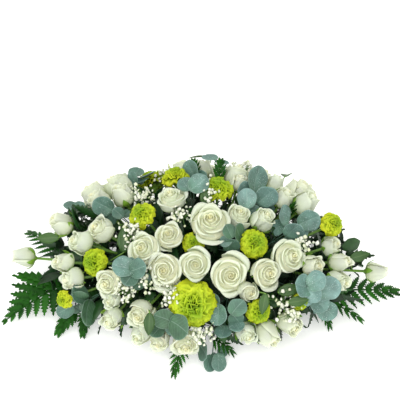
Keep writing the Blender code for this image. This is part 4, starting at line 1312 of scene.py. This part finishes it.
# %% [markdown]
# ## Base greens
# A florist first covers the foam with short greens, so that only dark leaves show between the flowers. Plain
# and cut leaves are set at random places over an inner dome, in a collar round its foot and at its two ends,
# and a few under the gaps that the viewer would still see through. Each has a thin stalk from the nearest
# flower stem.

# %% Plant the base greens
DOME_GREENS = 400
COLLAR_GREENS = 320
END_GREENS = 130
# The steepest angle, and how deep in the dome: from the first share to the second.
DOME_SPREAD = (88, 0.50, 0.88)
COLLAR_SPREAD = (20, 0.45, 0.95)
ENDS_DRAWN_IN = 0.92
END_REACH = 385
LOWEST_SPOT = 16
CUT_SHARE = 0.5
GREEN_STALK = 0.7 * MM
LEAF_LENGTHS = (38 * MM, 58 * MM)
GAPS = [(-262, 132), (-262, 142), (-252, 148), (-240, 146)]
GAP_DEPTHS = (1.0, 1.015)
green_dice = random.Random(4)
all_stems = [(hub, base) for _, hub, base, _, _, _ in stem_rows]


def dome_spot(steepest, nearest, furthest):
    """A place up to so many degrees up the dome and so deep in it."""
    angle = green_dice.uniform(0, math.tau)
    high = math.radians(green_dice.uniform(3, steepest))
    depth = green_dice.uniform(nearest, furthest)
    ray = Vector((math.cos(angle) * math.cos(high), math.sin(angle) * math.cos(high), math.sin(high)))
    x, y = ray.x * DOME_HALF_LENGTH * ENDS_DRAWN_IN, ray.y * DOME_HALF_WIDTH
    return Vector((x, y, ray.z * DOME_RISE + DOME_FOOT)) * depth


def end_spot():
    """A place under the buds at either end."""
    x = green_dice.uniform(180, 300)
    y = green_dice.uniform(-95, 95)
    z = green_dice.uniform(18, 100) * (1 - (x / END_REACH) ** 3)
    return Vector((x * green_dice.choice((-1, 1)), y, max(z, LOWEST_SPOT))) * MM


def gap_spots():
    """Places under the gaps that the viewer would see through, given on the plan."""
    points = [dome_point(across * MM, up * MM) for across, up in GAPS]
    return [EYE.lerp(point, depth) for point in points for depth in GAP_DEPTHS]


def green_parts(spot):
    """A leaf and its stalk."""
    spot.z = max(spot.z, LOWEST_SPOT * MM)
    axis = (spot - hub_of(spot.x)[1]).normalized()
    length = green_dice.uniform(*LEAF_LENGTHS)
    along = (axis + Vector([green_dice.uniform(-0.9, 0.9) for _ in range(3)])).normalized()
    facing = (axis - along * axis.dot(along)).normalized()
    foot = spot - along * length / 2
    chance = green_dice.uniform(0, 1)
    if green_dice.random() < CUT_SHARE:
        leaf = placed_leaflet(foot, foot + along * length * 1.15, facing, length * 0.24, chance)
    else:
        aside = along.cross(facing) * length * 0.3
        place = leaf_place(Blade(spot, along * length / 2, aside, facing))
        leaf = copied(base_leaf_master, place, chance)
    foot.z = max(foot.z, 2 * MM)
    return [above_table(leaf), stalk(nearest_on(all_stems, foot), foot, GREEN_STALK, 0.3)]


spots = [dome_spot(*DOME_SPREAD) for _ in range(DOME_GREENS)]
spots += [dome_spot(*COLLAR_SPREAD) for _ in range(COLLAR_GREENS)]
spots += [end_spot() for _ in range(END_GREENS)]
spots += gap_spots()
parts = [part for spot in spots for part in green_parts(spot)]
planted(joined(parts, "base_greens"), "base_greens", dark_leaf, "fern_leaf")
print(len(spots), "leaves over the foam")

# %% [markdown]
# ## The foam and the tray
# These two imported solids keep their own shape. They only get a better finish: the wet, open-celled foam is
# almost black-green, and the tray is a plain moulded plastic. The masters have all been copied by now, so
# they are deleted.

# %% Dress the foam and the tray
for name, slot, material in (("foam", "foam_green", foam_green), ("tray", "tray_plastic", tray_plastic)):
    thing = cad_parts[name]
    thing.data.materials.clear()
    thing.data.materials.append(material)
for original in masters:
    bpy.data.objects.remove(original)
print("dressed")

# %% [markdown]
# ## Studio
# A pale floor, a bright soft sky, a large soft light from above and to the left, and a second one just in
# front of the camera that opens the shadows between the petals.

# %% Light the scene
FLOOR_WIDTH = 12
only(camera)
bpy.ops.mesh.primitive_plane_add(size=FLOOR_WIDTH, location=(0, 0, -0.5 * MM))
floor = bpy.context.object
floor.name = "floor"
paper = bpy.data.materials.new("paper")
paper.use_nodes = True
for title, value in (("Base Color", (0.95, 0.95, 0.95, 1)), ("Roughness", 0.9),
                     ("Emission Color", (1, 1, 1, 1)), ("Emission Strength", 0.35)):
    paper.node_tree.nodes["Principled BSDF"].inputs[title].default_value = value
floor.data.materials.append(paper)

world = bpy.data.worlds.new("studio")
world.use_nodes = True
world.node_tree.nodes["Background"].inputs["Color"].default_value = (0.98, 1, 0.94, 1)
world.node_tree.nodes["Background"].inputs["Strength"].default_value = 1.0
bpy.context.scene.world = world


def soft_light(place, aim, size, energy):
    """A square light that shines along aim."""
    bpy.ops.object.light_add(type="AREA", location=place)
    light = bpy.context.object
    light.data.size = size
    light.data.energy = energy
    light.rotation_euler = aim.to_track_quat("-Z", "Y").to_euler()


KEY_PLACE = Vector((-1.2, -1.0, 2.2))
soft_light(KEY_PLACE, -KEY_PLACE, 1.4, 12)
soft_light(EYE * 0.9, forward, 1.2, 11)
bpy.context.scene.view_settings.view_transform = "Standard"
print("two lights, a sky and a floor")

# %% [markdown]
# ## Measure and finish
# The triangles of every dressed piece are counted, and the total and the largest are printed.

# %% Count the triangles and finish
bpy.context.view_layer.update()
triangles = {piece.name: sum(len(p.vertices) - 2 for p in piece.data.polygons) for piece in pieces}
print("triangles:", sum(triangles.values()), "largest:", max(triangles.values()))
